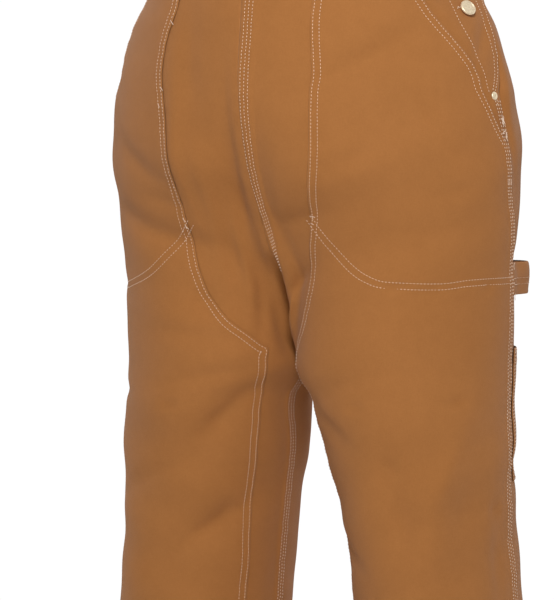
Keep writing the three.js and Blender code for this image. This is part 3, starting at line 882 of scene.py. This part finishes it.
def hammerLoopOffset(side, around, above):
    share = np.clip((around - hammerLoop["start"]) / (hammerLoop["end"] - hammerLoop["start"]), 0, 1)
    arch = np.sin(np.pi * share)
    middle = (hammerLoop["low"] + hammerLoop["high"]) / 2
    sag = hammerLoop["sag"] * arch * (above - middle) / (hammerLoop["high"] - middle)
    return garment["seamGap"] + hammerLoop["thickness"] + hammerLoop["bow"] * arch ** 2 - sag


def makeLeftExtras():
    pocket = clothPanel(
        "tool_pocket_patch", 1, toolPocket["foot"], toolPocket["mouth"], steady(toolPocket["first"]),
        steady(toolPocket["last"]), 14, toolPocketOffset, toolPocket["thickness"],
    )
    finishCloth(pocket, "tool_pocket")
    loopStart = outseam + (seam["lap"] - hammerLoop["tuck"]) / garment["girth"]
    loop = clothPanel(
        "hammer_loop_strap", 1, hammerLoop["low"], hammerLoop["high"], steady(loopStart),
        steady(hammerLoop["last"]), 48, hammerLoopOffset, hammerLoop["thickness"],
    )
    finishCloth(loop, "hammer_loop")


makeLeftExtras()

bibPanel = {
    "hem": 32, "hemLift": 0.8, "sideHem": 10, "sideLift": 0.5, "sideFrom": 470, "sideGap": 0.001,
    "waistLift": 2.4, "waistLap": 6.5, "waistTop": 438, "trunkRadius": 170, "wear": 2.6,
}
trunkSlack = {"uneven": 1.3, "height": 1.6, "above": 520, "reach": 60, "share": 0.5}


# a wall on the trunk, between two angles at each height
def trunkPanel(name, high, anglesAt, count, offsetAt):
    low = garment["waistSeam"] - bibPanel["waistLap"]
    thickness = garment["wall"]
    above = rowHeights(low, high)
    first, last = (angles[:, None] for angles in anglesAt(above))
    near = np.array([0, 0.004, 0.012, 0.024])
    share = np.concatenate([near, np.linspace(0.04, 0.96, count), 1 - near[::-1]])
    angle = first + (last - first) * share
    heights = np.broadcast_to(above[:, None], angle.shape)
    radius = bibPanel["trunkRadius"]
    rim = np.minimum(angle - first, last - angle) * radius
    rim = np.minimum(rim, np.minimum(heights - low, high - heights))
    offset = offsetAt(angle, heights, rim)
    base = trunkPoint(angle, heights)
    normal = outwardOf(trunkPoint, angle, heights)
    outer = base + normal * (offset - edgeRoll["outer"] * thickness * rolled(rim))[..., None]
    inner = base + normal * (offset - thickness)[..., None]
    uv = np.stack([angle * radius, heights], -1)
    return wallMesh(name, outer, inner, uv, 1 - ease(rim / bibPanel["wear"]))


def trunkWaves(angle, above):
    across = angle * bibPanel["trunkRadius"]
    slack = np.exp(-((above - trunkSlack["above"]) / trunkSlack["reach"]) ** 2)
    waves = trunkSlack["height"] * np.sin(across / 31 + above / 70) * slack
    return uneven(1, across, above) * trunkSlack["uneven"] + waves


# what the bib and the high back share
def upperOffset(angle, above, rim, high):
    side = 1 - ease((rim - bibPanel["sideHem"]) / 2)
    lift = bibPanel["sideLift"] * side * ease((above - bibPanel["sideFrom"]) / 20)
    lift = lift + bibPanel["waistLift"] * (1 - ease((above - bibPanel["waistTop"]) / 5))
    away = ease((above - 450) / 40) * ease((high - above) / 60)
    return lift + trunkSlack["share"] * trunkWaves(angle, above) * away


def bibOffset(angle, above, rim):
    high = garment["bibTop"]
    topHem = bibPanel["hemLift"] * (1 - ease((high - above - bibPanel["hem"]) / 2))
    return topHem + upperOffset(angle, above, rim, high)


def highBackOffset(angle, above, rim):
    return upperOffset(angle, above, rim, garment["backTop"])


def bibAngles(above):
    edge = topEdge["bib"](above) * degree - bibPanel["sideGap"]
    return -edge, edge


def highBackAngles(above):
    edge = topEdge["back"](above) * degree + bibPanel["sideGap"]
    return edge, 2 * math.pi - edge


bib = trunkPanel("bib_panel", garment["bibTop"], bibAngles, 70, bibOffset)
finishCloth(bib, "bib_front")
highBack = trunkPanel("high_back", garment["backTop"], highBackAngles, 50, highBackOffset)
finishCloth(highBack, "back_bib")

fastening = {
    "across": 97, "above": 664, "plateFrom": 1.2, "plateThickness": 2, "barFoot": 34,
}
strap = {
    "width": 38, "thickness": 2, "across": 40, "edgeRow": 3.2, "dip": 0.25, "backGap": 0.45, "buckleGap": 0.4,
    "steps": 96, "bendSteps": 14,
}
strapRoute = [  # x, y, z and the turn of the strap's width in degrees
    (46, 114, -70, -11),
    (55, 100, -38, -10),
    (68, 66, -11, -8),
    (80, 22, 0, -2),
    (86, -10, 1, 4),
    (91, -48, -5, 12),
    (95, -80, -19, 21),
]


def seatOn(surface, across, above, sink=0):
    across = np.asarray(across, float)
    above = np.asarray(above, float)
    out = outwardOf(surface, across, above)
    right = unit(np.cross([0, 0, 1], out))
    point = surface(across, above) - out * sink
    return {"point": point, "right": right, "up": np.cross(out, right), "out": out}


def bibSeat():
    angle = math.asin(fastening["across"] / float(trunk["halfWidth"](fastening["above"])))
    return seatOn(trunkPoint, angle, fastening["above"])


def centripetal(points, at):
    last = len(points) - 1
    place = at * last
    i = min(int(place), last - 1)
    weight = place - i
    p1, p2 = points[i], points[i + 1]
    p0 = points[i - 1] if i > 0 else 2 * p1 - p2
    p3 = points[i + 2] if i + 2 <= last else 2 * p2 - p1
    d0, d1, d2 = (math.sqrt(np.linalg.norm(b - a)) for a, b in ((p0, p1), (p1, p2), (p2, p3)))
    t1 = ((p1 - p0) / d0 - (p2 - p0) / (d0 + d1) + (p2 - p1) / d1) * d1
    t2 = ((p2 - p1) / d1 - (p3 - p1) / (d1 + d2) + (p3 - p2) / d2) * d1
    square = -3 * p1 + 3 * p2 - 2 * t1 - t2
    cube = 2 * p1 - 2 * p2 + t1 + t2
    return p1 + t1 * weight + square * weight ** 2 + cube * weight ** 3


def strapLine():
    thin = strap["thickness"] / 2
    points = []
    turns = []
    for above in (618, 634, garment["backTop"]):
        angle = math.pi - math.asin(strap["across"] / float(trunk["halfWidth"](above)))
        seat = seatOn(trunkPoint, angle, above)
        points.append(seat["point"] + seat["out"] * (strap["backGap"] + thin))
        turns.append(math.atan2(-seat["right"][1], -seat["right"][0]))
    for x, y, z, turn in strapRoute:
        points.append(np.array([x, y, z], float))
        turns.append(turn * degree)
    seat = bibSeat()
    frontTurn = math.atan2(seat["right"][1], seat["right"][0])
    middle = fastening["plateFrom"] + fastening["plateThickness"] / 2
    bend = fastening["plateThickness"] / 2 + strap["buckleGap"] + thin
    bendCentre = fastening["barFoot"] + 0.6

    def onBuckle(up, out):
        return seat["point"] + seat["up"] * up + seat["out"] * out

    for up in (62, 48):
        points.append(onBuckle(up, middle + bend))
        turns.append(frontTurn)
    turnAt = smoothCurve(range(len(turns)), turns)
    line = []
    for at in np.linspace(0, 1, strap["steps"] + 1):
        line.append((centripetal(points, at), float(turnAt(at * (len(points) - 1)))))
    for angle in np.linspace(0, math.pi, strap["bendSteps"] + 1):
        up = bendCentre - bend * math.sin(angle)
        line.append((onBuckle(up, middle + bend * math.cos(angle)), frontTurn))
    for up in (38, 42, 46, 50, 54, 58):
        line.append((onBuckle(up, middle - bend), frontTurn))
    return line


def strapFrames():
    line = strapLine()
    points = np.array([point for point, _ in line])
    turns = np.array([turn for _, turn in line])
    at = np.arange(len(points))
    ahead = points[np.minimum(at + 1, at[-1])] - points[np.maximum(at - 1, 0)]
    across = np.stack([np.cos(turns), np.sin(turns), 0 * turns], -1)
    out = unit(np.cross(unit(ahead), across))
    length = np.concatenate([[0], np.cumsum(np.linalg.norm(np.diff(points, axis=0), axis=1))])
    return points, across, out, length


strapLayout = strapFrames()


def makeStrap(side):
    points, across, out, length = strapLayout
    near = np.array([1, 0.97, 0.92, 0.84, 0.7, 0.45, 0.15]) / 2
    columns = np.concatenate([-near, near[::-1]])
    centre = points[:, None] + across[:, None] * (columns * strap["width"])[None, :, None]
    rim = (0.5 - np.abs(columns)) * strap["width"]
    thin = strap["thickness"] / 2
    dip = strap["dip"] * np.exp(-((rim - strap["edgeRow"]) / 1.2) ** 2) + edgeRoll["outer"] * thin * rolled(rim)
    half = out[:, None] * (thin - dip)[None, :, None]
    flip = np.array([side, 1, 1])
    uv = np.stack(np.broadcast_arrays(columns[None, :] * strap["width"], length[:, None]), -1)
    wear = np.broadcast_to((1 - ease(rim / bibPanel["wear"]))[None, :], uv.shape[:2])
    name = sideNames[side]
    band = wallMesh(f"strap_band_{name}", (centre + half) * flip, (centre - half) * flip, uv, wear)
    finishCloth(band, f"strap_{name}")


for half in (1, -1):
    makeStrap(half)
print("overalls: bib, back, straps, loop and pocket made")

buttonRadius = 8.65
rivetRadius = 4.35
turnedPieces = {  # radius and height off the cloth
    "sideButton": [
        (0, 0.15), (3, 0.15), (3, 1.3), (buttonRadius - 0.6, 1.3), (buttonRadius - 0.1, 1.6),
        (buttonRadius, 2.1), (buttonRadius - 0.1, 2.9), (buttonRadius - 0.5, 3.5), (buttonRadius - 1.1, 3.75),
        (buttonRadius - 1.6, 3.6), (buttonRadius - 2, 3.25), (5, 3.3), (3, 3.45), (1.5, 3.55), (0, 3.6),
    ],
    "bibButton": [
        (0, 0.15), (3, 0.15), (3, 3.6), (buttonRadius - 0.5, 3.6), (buttonRadius, 4.1), (buttonRadius, 5),
        (buttonRadius - 0.4, 5.7), (buttonRadius - 1, 6), (buttonRadius - 1.6, 5.8),
        (buttonRadius - 2.1, 5.5), (4, 5.6), (2, 5.75), (0, 5.8),
    ],
    "rivet": [
        (0, 0.15), (rivetRadius, 0.15), (rivetRadius, 0.7), (rivetRadius - 0.3, 1.2), (rivetRadius - 1, 1.7),
        (rivetRadius - 1.9, 2), (1.7, 2.1), (1.3, 1.8), (1, 1.5), (0.6, 1.7), (0, 1.8),
    ],
}


def mirrored(seat, side):
    flipped = {key: value * np.array([side, 1, 1]) for key, value in seat.items()}
    flipped["right"] = flipped["right"] * side
    return flipped


def makeTurned(name, profile, seat, node):
    segments = 40
    basis = np.stack([seat["right"], seat["up"], seat["out"]])
    build = bmesh.new()
    rings = []
    for radius, height in profile:
        count = 1 if radius == 0 else segments
        ring = []
        for i in range(count):
            angle = 2 * math.pi * i / segments
            local = np.array([radius * math.cos(angle), radius * math.sin(angle), height])
            ring.append(build.verts.new(((seat["point"] + local @ basis) * mm).tolist()))
        rings.append(ring)
    for low, high in zip(rings, rings[1:]):
        for i in range(segments):
            after = (i + 1) % segments
            if len(low) == 1:
                build.faces.new((low[0], high[after], high[i]))
            elif len(high) == 1:
                build.faces.new((low[i], low[after], high[0]))
            else:
                build.faces.new((low[i], low[after], high[after], high[i]))
    bmesh.ops.recalc_face_normals(build, faces=build.faces)
    mesh = bpy.data.meshes.new(name)
    build.to_mesh(mesh)
    build.free()
    return finishPiece(smoothObject(name, mesh), brass, "brass", node)


# the CAD plate with its edges rounded
def makeBuckle(side):
    name = sideNames[side]
    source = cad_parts[f"buckle_{name}"]
    mesh = source.data.copy()
    build = bmesh.new()
    build.from_mesh(mesh)
    bmesh.ops.remove_doubles(build, verts=build.verts, dist=0.01 * mm)
    bmesh.ops.dissolve_limit(build, angle_limit=3 * degree, verts=build.verts, edges=build.edges)
    sharp = [edge for edge in build.edges if edge.is_manifold and edge.calc_face_angle() > 60 * degree]
    bmesh.ops.bevel(build, geom=sharp, offset=0.45 * mm, segments=3, profile=0.5, affect="EDGES")
    bmesh.ops.triangulate(build, faces=[face for face in build.faces if len(face.verts) > 4])
    build.to_mesh(mesh)
    build.free()
    return finishPiece(addObject(f"buckle_plate_{name}", mesh), brass, "brass", f"buckle_{name}")


def bodySeat(around, above, sink=0):
    return seatOn(lambda a, h: bodyPoint(np.array(1.0), a, h), around, above, sink)


# a button leans forward on its shank
def tilted(seat, turn, raised):
    cos, sin = math.cos(turn * degree), math.sin(turn * degree)
    out = seat["out"] * cos - seat["right"] * sin
    right = seat["right"] * cos + seat["out"] * sin
    return {"point": seat["point"] + seat["out"] * raised, "right": right, "up": seat["up"], "out": out}


fastenerPlaces = {
    "lowerButton": {"around": 0.419, "above": 363.6, "lean": 14, "raised": 1},
    "upperButton": {"angle": 92 * degree, "above": 452},
    "rivet": {"around": 0.489, "above": 276, "sink": 0.5},
}


def makeFasteners(side):
    word = sideNames[side]
    lower, upper, foot = (fastenerPlaces[key] for key in ("lowerButton", "upperButton", "rivet"))
    lowerSeat = tilted(bodySeat(lower["around"], lower["above"]), lower["lean"], lower["raised"])
    upperSeat = seatOn(trunkPoint, upper["angle"], upper["above"])
    footSeat = bodySeat(foot["around"], foot["above"], foot["sink"])
    for piece, node, profile, seat in (
        ("lower_button", "side_button_lower", "sideButton", lowerSeat),
        ("upper_button", "side_button_upper", "sideButton", upperSeat),
        ("rivet_head", "rivet", "rivet", footSeat),
        ("bib_stud", "bib_button", "bibButton", bibSeat()),
    ):
        makeTurned(f"{piece}_{word}", turnedPieces[profile], mirrored(seat, side), f"{node}_{word}")
    makeBuckle(side)


for half in (1, -1):
    makeFasteners(half)
print("overalls: buttons, rivets and buckles made")

stitch = {"pitch": 3.55, "length": 2.1, "width": 0.72, "height": 0.55, "lift": 0.14, "yaw": 5, "seed": 11}
tackStitch = {**stitch, "pitch": 0.75, "length": 1.5}


# instances of one short thread along each row, standing on the cloth
def stitchTree():
    tree = bpy.data.node_groups.new("stitchRows", "GeometryNodeTree")
    face = tree.interface
    face.new_socket("Geometry", in_out="INPUT", socket_type="NodeSocketGeometry")
    for name in ("Pitch", "Length", "Width", "Height", "Yaw"):
        face.new_socket(name, in_out="INPUT", socket_type="NodeSocketFloat")
    face.new_socket("Seed", in_out="INPUT", socket_type="NodeSocketInt")
    face.new_socket("Thread", in_out="INPUT", socket_type="NodeSocketMaterial")
    face.new_socket("Geometry", in_out="OUTPUT", socket_type="NodeSocketGeometry")
    group = tree.nodes.new("NodeGroupInput").outputs
    result = tree.nodes.new("NodeGroupOutput")
    curve = addNode(tree, "GeometryNodeMeshToCurve", Mesh=group["Geometry"])
    spaced = addNode(
        tree, "GeometryNodeResampleCurve", {"mode": "LENGTH"}, Curve=curve.outputs[0], Length=group["Pitch"],
    )
    out = addNode(tree, "GeometryNodeInputNamedAttribute", {"data_type": "FLOAT_VECTOR"}, Name="outward")
    tangent = addNode(tree, "GeometryNodeInputTangent")
    turned = addNode(
        tree, "FunctionNodeAxesToRotation", {"primary_axis": "Z", "secondary_axis": "X"},
        {0: out.outputs["Attribute"], 1: tangent.outputs[0]},
    )
    least = maths(tree, "MULTIPLY", group["Yaw"], -1)
    sway = addNode(
        tree, "FunctionNodeRandomValue", {"data_type": "FLOAT"}, {2: least, 3: group["Yaw"]},
        Seed=group["Seed"],
    )
    axis = addNode(tree, "FunctionNodeAxisAngleToRotation", Axis=(0, 0, 1), Angle=sway.outputs[1])
    swayed = addNode(
        tree, "FunctionNodeRotateRotation", {"rotation_space": "LOCAL"},
        {0: turned.outputs[0], 1: axis.outputs[0]},
    )
    bead = addNode(tree, "GeometryNodeMeshUVSphere", Segments=6, Rings=4, Radius=0.5)
    size = addNode(
        tree, "ShaderNodeCombineXYZ", None, {0: group["Length"], 1: group["Width"], 2: group["Height"]},
    )
    shaped = addNode(tree, "GeometryNodeTransform", Geometry=bead.outputs[0], Scale=size.outputs[0])
    placed = addNode(
        tree, "GeometryNodeInstanceOnPoints", Points=spaced.outputs[0], Instance=shaped.outputs[0],
        Rotation=swayed.outputs[0],
    )
    real = addNode(tree, "GeometryNodeRealizeInstances", Geometry=placed.outputs[0])
    smooth = addNode(tree, "GeometryNodeSetShadeSmooth", Geometry=real.outputs[0])
    dressed = addNode(tree, "GeometryNodeSetMaterial", Geometry=smooth.outputs[0], Material=group["Thread"])
    tree.links.new(dressed.outputs[0], result.inputs[0])
    return tree


stitchRows = stitchTree()


def sewRows(name, rows, sewing):
    vertices = []
    edges = []
    normals = []
    for points, outs in rows:
        start = len(vertices)
        vertices += (points * mm).tolist()
        normals += outs.tolist()
        edges += [(start + i, start + i + 1) for i in range(len(points) - 1)]
    mesh = bpy.data.meshes.new(name + "_rows")
    mesh.from_pydata(vertices, edges, [])
    marks = mesh.attributes.new("outward", "FLOAT_VECTOR", "POINT")
    marks.data.foreach_set("vector", np.array(normals).ravel())
    carrier = addObject(name + "_rows", mesh)
    modifier = carrier.modifiers.new("stitches", "NODES")
    modifier.node_group = stitchRows
    values = {key.title(): sewing[key] * mm for key in ("pitch", "length", "width", "height")}
    values.update(Yaw=sewing["yaw"] * degree, Seed=sewing["seed"], Thread=thread)
    for item in stitchRows.interface.items_tree:
        if item.in_out == "INPUT" and item.name in values:
            modifier[item.identifier] = values[item.name]
    depsgraph = bpy.context.evaluated_depsgraph_get()
    sewn = bpy.data.meshes.new_from_object(carrier.evaluated_get(depsgraph))
    bpy.data.objects.remove(carrier)
    sewn.name = name
    print("overalls:", name, len(sewn.polygons), "faces")
    return finishPiece(addObject(name, sewn), thread, "duck")


rowTrim = {"from": 5, "clear": 0.8}  # a row moved this far loses what turns back at a corner


# a smooth line through (above, around) places, moved sideways by some millimetres
def routeOnCloth(places, shift, smooth):
    spots = np.array([(around * garment["girth"], above) for above, around in places], float)
    reach = np.concatenate([[0], np.cumsum(np.hypot(*np.diff(spots, axis=0).T))])
    at = np.linspace(0, reach[-1], max(3, int(reach[-1] / 2.5)))
    if smooth and len(places) > 2:
        across, up = (smoothCurve(reach, column)(at) for column in spots.T)
    else:
        across, up = (np.interp(at, reach, column) for column in spots.T)
    if shift:
        heading = unit(np.stack([np.gradient(across), np.gradient(up)], -1))
        movedAcross = across + heading[:, 1] * shift
        movedUp = up - heading[:, 0] * shift
        clear = np.hypot(movedAcross[:, None] - across, movedUp[:, None] - up).min(axis=1)
        keep = (clear > rowTrim["clear"] * abs(shift)) | (abs(shift) < rowTrim["from"])
        across, up = movedAcross[keep], movedUp[keep]
    return across / garment["girth"], up


def sewOnCloth(side, places, offsetAt, shift=0.0, smooth=True):
    around, above = routeOnCloth(places, shift, smooth)
    lift = offsetAt(side, around, above) + stitch["lift"]
    return clothPoint(side, around, above, lift, withNormal=True)


def edgePlaces(curve, low, high, step=6):
    heights = np.linspace(high, low, int((high - low) / step))
    return [(above, float(curve(above))) for above in heights]

pocketBag = {  # the pocket bag's rim, sewn through the double front: above, around
    "left": [
        (152, 0.1), (125, 0.150), (103, 0.194), (92, 0.227), (86, 0.258), (85, 0.284), (84, 0.342),
        (87, 0.394), (88, 0.461), (88, 0.511),
    ],
    "right": [
        (146, 0.142), (138, 0.157), (115, 0.206), (93, 0.261), (85, 0.298), (77, 0.372), (78, 0.42),
        (80, 0.511),
    ],
    "halfSpacing": 3.1,
}
facingRow = [(440, 0.27), (405, 0.33), (373, 0.376), (354, 0.393), (329, 0.419), (303, 0.443), (281, 0.472)]
placketRows = [
    [(440, 0.432), (373, 0.459), (353, 0.473), (324, 0.480), (283, 0.486)],
    [(440, 0.478), (364, 0.487), (332, 0.494), (302, 0.4955), (268, 0.4955)],
]
rivetRows = [(270, 0.4925), (255, 0.497), (240, 0.501), (220, 0.502), (188, 0.5)]
rowsTop = 438
edgeRows = {"doubleFront": (2.3, 8.6), "pocketMouth": (2.4, 8.8), "toolPocket": (2.2, 8)}


def pocketAndLoopRows(sew):
    foot, mouth = toolPocket["foot"], toolPocket["mouth"]
    for off in edgeRows["toolPocket"]:
        inset = off / garment["girth"]
        first, last = toolPocket["first"] + inset, toolPocket["last"] - inset
        outline = [(mouth - 1, first), (foot + off, first), (foot + off, last), (mouth - 1, last)]
        sew(outline, toolPocketOffset, smooth=False)
    for drop in (3, 13):
        sew([(mouth - drop, 0.533), (mouth - drop, 0.697)], toolPocketOffset)
    for rise in (83, 89.5):
        sew([(rise, 0.513), (rise, 0.698)], hammerLoopOffset)


def bodyRows(side):
    name = sideNames[side]
    girth = garment["girth"]
    low = 1 - garment["inseam"]
    end = garment["doubleFrontEnd"]
    edge = doubleFrontEdge[name]
    rows = []

    def sew(places, offsetAt, shift=0.0, smooth=True):
        rows.append(sewOnCloth(side, places, offsetAt, shift, smooth))

    for off in seam["rows"]:
        share = off / girth
        sew(edgePlaces(steady(-share), low, -4), frontOffset)
        sew(edgePlaces(steady(outseam + share), end + 2, 190), overlayOffset)
        sew(edgePlaces(steady(outseam + share), low, end - 3), frontOffset)
        sew([(above, around + share) for above, around in rivetRows], overlayOffset)
        if side > 0:
            sew([(above, around + share * close) for above, around, close in centreRows], frontOffset)
            sew(edgePlaces(steady(1 + share), 26, rowsTop), backOffset)
    for off in edgeRows["doubleFront"]:
        foot = end + off
        sew(edgePlaces(edge, foot, rowsTop, 5), overlayOffset, -off, smooth=False)
        sew([(foot, float(edge(foot)) + off / girth), (foot, 0.508)], overlayOffset)
    for off in edgeRows["pocketMouth"]:
        sew(edgePlaces(pocketMouth["around"], 233, rowsTop, 5), overlayOffset, off)
    for off in (-pocketBag["halfSpacing"], pocketBag["halfSpacing"]):
        sew(pocketBag[name], overlayOffset, off)
    for places in (facingRow, *placketRows):
        sew(places, frontOffset)
    for rise in hem["rows"]:
        height = rise - garment["inseam"]
        sew([(height, 0.012), (height, 0.488)], frontOffset)
        sew([(height, 0.512), (height, 0.988)], backOffset)
    if side > 0:
        pocketAndLoopRows(sew)
    return rows


tackStroke = 0.9


def zigzag(above, around, turn, length, width):
    places = []
    strokes = int(length / tackStroke)
    cos, sin = math.cos(turn * degree), math.sin(turn * degree)
    for i in range(strokes + 1):
        along = (i / strokes - 0.5) * length
        off = width / 2 * (1 if i % 2 else -1)
        across = along * cos - off * sin
        places.append((above + along * sin + off * cos, around + across / garment["girth"]))
    return places


tacks = [  # side, above, around, turn in degrees, length, width, which layer
    (1, 366, 0.4, 0, 6, 2.6, "front"),
    (1, 251, 0.502, 70, 9, 4, "overlay"),
    (1, 236, 0.508, 65, 8, 4, "overlay"),
    (1, 251, 0.503, -40, 9, 2, "overlay"),
    (1, 240, 0.503, 20, 7, 2, "overlay"),
    (1, 154, 0.109, -40, 3, 1, "overlay"),
    (1, 147, 0.108, -40, 3, 1, "overlay"),
    (-1, 149, 0.152, 40, 3, 1, "overlay"),
    (-1, 141, 0.153, 40, 3, 1, "overlay"),
    (-1, 366, 0.4, 0, 6, 2.6, "front"),
    (-1, 251, 0.493, 70, 9, 4, "overlay"),
    (-1, 236, 0.5, 65, 8, 5, "overlay"),
    (-1, 285, 0.157, 50, 4, 2, "overlay"),
    (-1, 268, 0.165, 60, 4, 2, "overlay"),
    (-1, 352, 0.143, 20, 5, 2, "overlay"),
    (1, 70, 0.518, 90, 6, 2, "loop"),
    (1, 102, 0.518, 90, 6, 2, "loop"),
]
layers = {"front": frontOffset, "overlay": overlayOffset, "loop": hammerLoopOffset}


def tackRows():
    rows = []
    for side, above, around, turn, length, width, layer in tacks:
        rows.append(sewOnCloth(side, zigzag(above, around, turn, length, width), layers[layer], smooth=False))
    return rows


def sewOnTrunk(angle, heights, offsetAt, inset):
    normal = outwardOf(trunkPoint, angle, heights)
    lift = offsetAt(angle, heights, np.full(len(heights), float(inset))) + stitch["lift"]
    return trunkPoint(angle, heights) + normal * lift[:, None], normal


# a level row between two angles in degrees, away from the panel's sides
def roundTrunk(low, high, count, above, offsetAt):
    return sewOnTrunk(np.linspace(low, high, count) * degree, np.full(count, float(above)), offsetAt, 60)


def strapRows():
    rows = []
    points, across, out, length = strapLayout
    for side in (1, -1):
        flip = np.array([side, 1, 1])
        for edge in (-1, 1):
            inset = edge * (strap["width"] / 2 - strap["edgeRow"])
            line = points + across * inset + out * (strap["thickness"] / 2 - 0.1)
            rows.append((line * flip, out * flip))
        for along in (4, 12):
            near = int(np.searchsorted(length, along))
            spread = np.linspace(-15, 15, 13)[:, None]
            line = points[near] + across[near] * spread + out[near] * (strap["thickness"] / 2 + 0.1)
            rows.append((line * flip, np.repeat(out[near][None] * flip, 13, axis=0)))
    return rows


def upperRows():
    rows = []
    for rise in (436, 441.5):
        for low, high, offsetAt in ((-107.4, 107.4, bibOffset), (108.6, 251.4, highBackOffset)):
            rows.append(roundTrunk(low, high, int((high - low) * 1.2), rise, offsetAt))
    for drop, reach in ((4, 45), (bibPanel["hem"] - 3, 45.5)):
        rows.append(roundTrunk(-reach, reach, 110, garment["bibTop"] - drop, bibOffset))
    rows.append(roundTrunk(160, 200, 60, garment["backTop"] - 4, highBackOffset))
    for inset in (2.5, 8.5):
        away = inset / bibPanel["trunkRadius"]
        for sign in (1, -1):
            heights = np.arange(446, garment["bibTop"] - 3, 2.5)
            angle = sign * (topEdge["bib"](heights) * degree - away)
            rows.append(sewOnTrunk(angle, heights, bibOffset, inset))
            heights = np.arange(446, garment["backTop"] - 3, 2.5)
            angle = math.pi + sign * (math.pi - topEdge["back"](heights) * degree - away)
            rows.append(sewOnTrunk(angle, heights, highBackOffset, inset))
    return rows + strapRows()


for pieceName, rows, sewing in (
    ("stitching_left", bodyRows(1), stitch),
    ("stitching_right", bodyRows(-1), stitch),
    ("stitching_upper", upperRows(), stitch),
    ("bartacks", tackRows(), tackStitch),
):
    sewRows(pieceName, rows, sewing)
print("overalls: stitched")

studio = {
    "target": (-0.0331, -0.0191, -0.6973),
    "azimuth": 30,
    "elevation": 3,
    "distance": 3.0,
    "lens": 113.2,
    "floorDrop": 0.002,
    "floorReach": 2.4,
    "sky": {"front": 0.22, "behind": 1.02},
    "lamps": {  # place, size, power
        "keyLight": ((1.0, -1.7, 0.6), 0.6, 43),
        "fillLight": ((-1.6, -2.2, 1.1), 1.2, 12),
        "edgeLight": ((-2.5, 0.1, 1.1), 1.2, 22),
    },
}


def makeSky(scene):
    world = bpy.data.worlds.new("studioSky")
    world.use_nodes = True
    tree = world.node_tree
    heading = addNode(tree, "ShaderNodeTexCoord")
    parts = addNode(tree, "ShaderNodeSeparateXYZ", Vector=heading.outputs["Generated"])
    behind = maths(tree, "ADD", maths(tree, "MULTIPLY", parts.outputs[1], 1.1), 0.2, clamp=True)
    strength = maths(tree, "MULTIPLY", behind, studio["sky"]["behind"] - studio["sky"]["front"])
    strength = maths(tree, "ADD", strength, studio["sky"]["front"])
    background = tree.nodes["Background"]
    background.inputs[0].default_value = (1, 1, 1, 1)
    tree.links.new(strength, background.inputs[1])
    scene.world = world


def makeFloor():
    mesh = bpy.data.meshes.new("studio_floor")
    reach = studio["floorReach"]
    floorZ = cadBox[0][2] - studio["floorDrop"]
    corners = [(x * reach, y * reach, floorZ) for x, y in ((-1, -1), (1, -1), (1, 1), (-1, 1))]
    mesh.from_pydata(corners, [], [(0, 1, 2, 3)])
    pale, tree, shader = newShader("paleFloor")
    dressShader(tree, shader, {"Base Color": (0.93, 0.93, 0.93, 1), "Roughness": 0.9})
    mesh.materials.append(pale)
    smoothObject("studio_floor", mesh)


def hangLamps():
    for name, (place, size, power) in studio["lamps"].items():
        data = bpy.data.lights.new(name, "AREA")
        data.size = size
        data.energy = power
        lamp = addObject(name, data)
        lamp.location = place
        aim = np.array(studio["target"]) - np.array(place)
        down = math.atan2(math.hypot(aim[0], aim[1]), -aim[2])
        lamp.rotation_euler = (down, 0, math.atan2(-aim[0], aim[1]))


def setCamera(scene):
    azimuth = studio["azimuth"] * degree
    elevation = studio["elevation"] * degree
    level = math.cos(elevation)
    back = np.array([level * math.sin(azimuth), -level * math.cos(azimuth), math.sin(elevation)])
    data = bpy.data.cameras.new("photoCamera")
    data.sensor_fit = "VERTICAL"
    data.sensor_height = 24
    data.lens = studio["lens"]
    data.clip_end = 200
    camera = addObject("photoCamera", data)
    camera.location = (np.array(studio["target"]) + back * studio["distance"]).tolist()
    camera.rotation_euler = (math.pi / 2 - elevation, 0, azimuth)
    scene.camera = camera


view = bpy.context.scene
view.view_settings.view_transform = "Standard"
view.view_settings.look = "None"
makeSky(view)
makeFloor()
hangLamps()
setCamera(view)

print("overalls: finished")
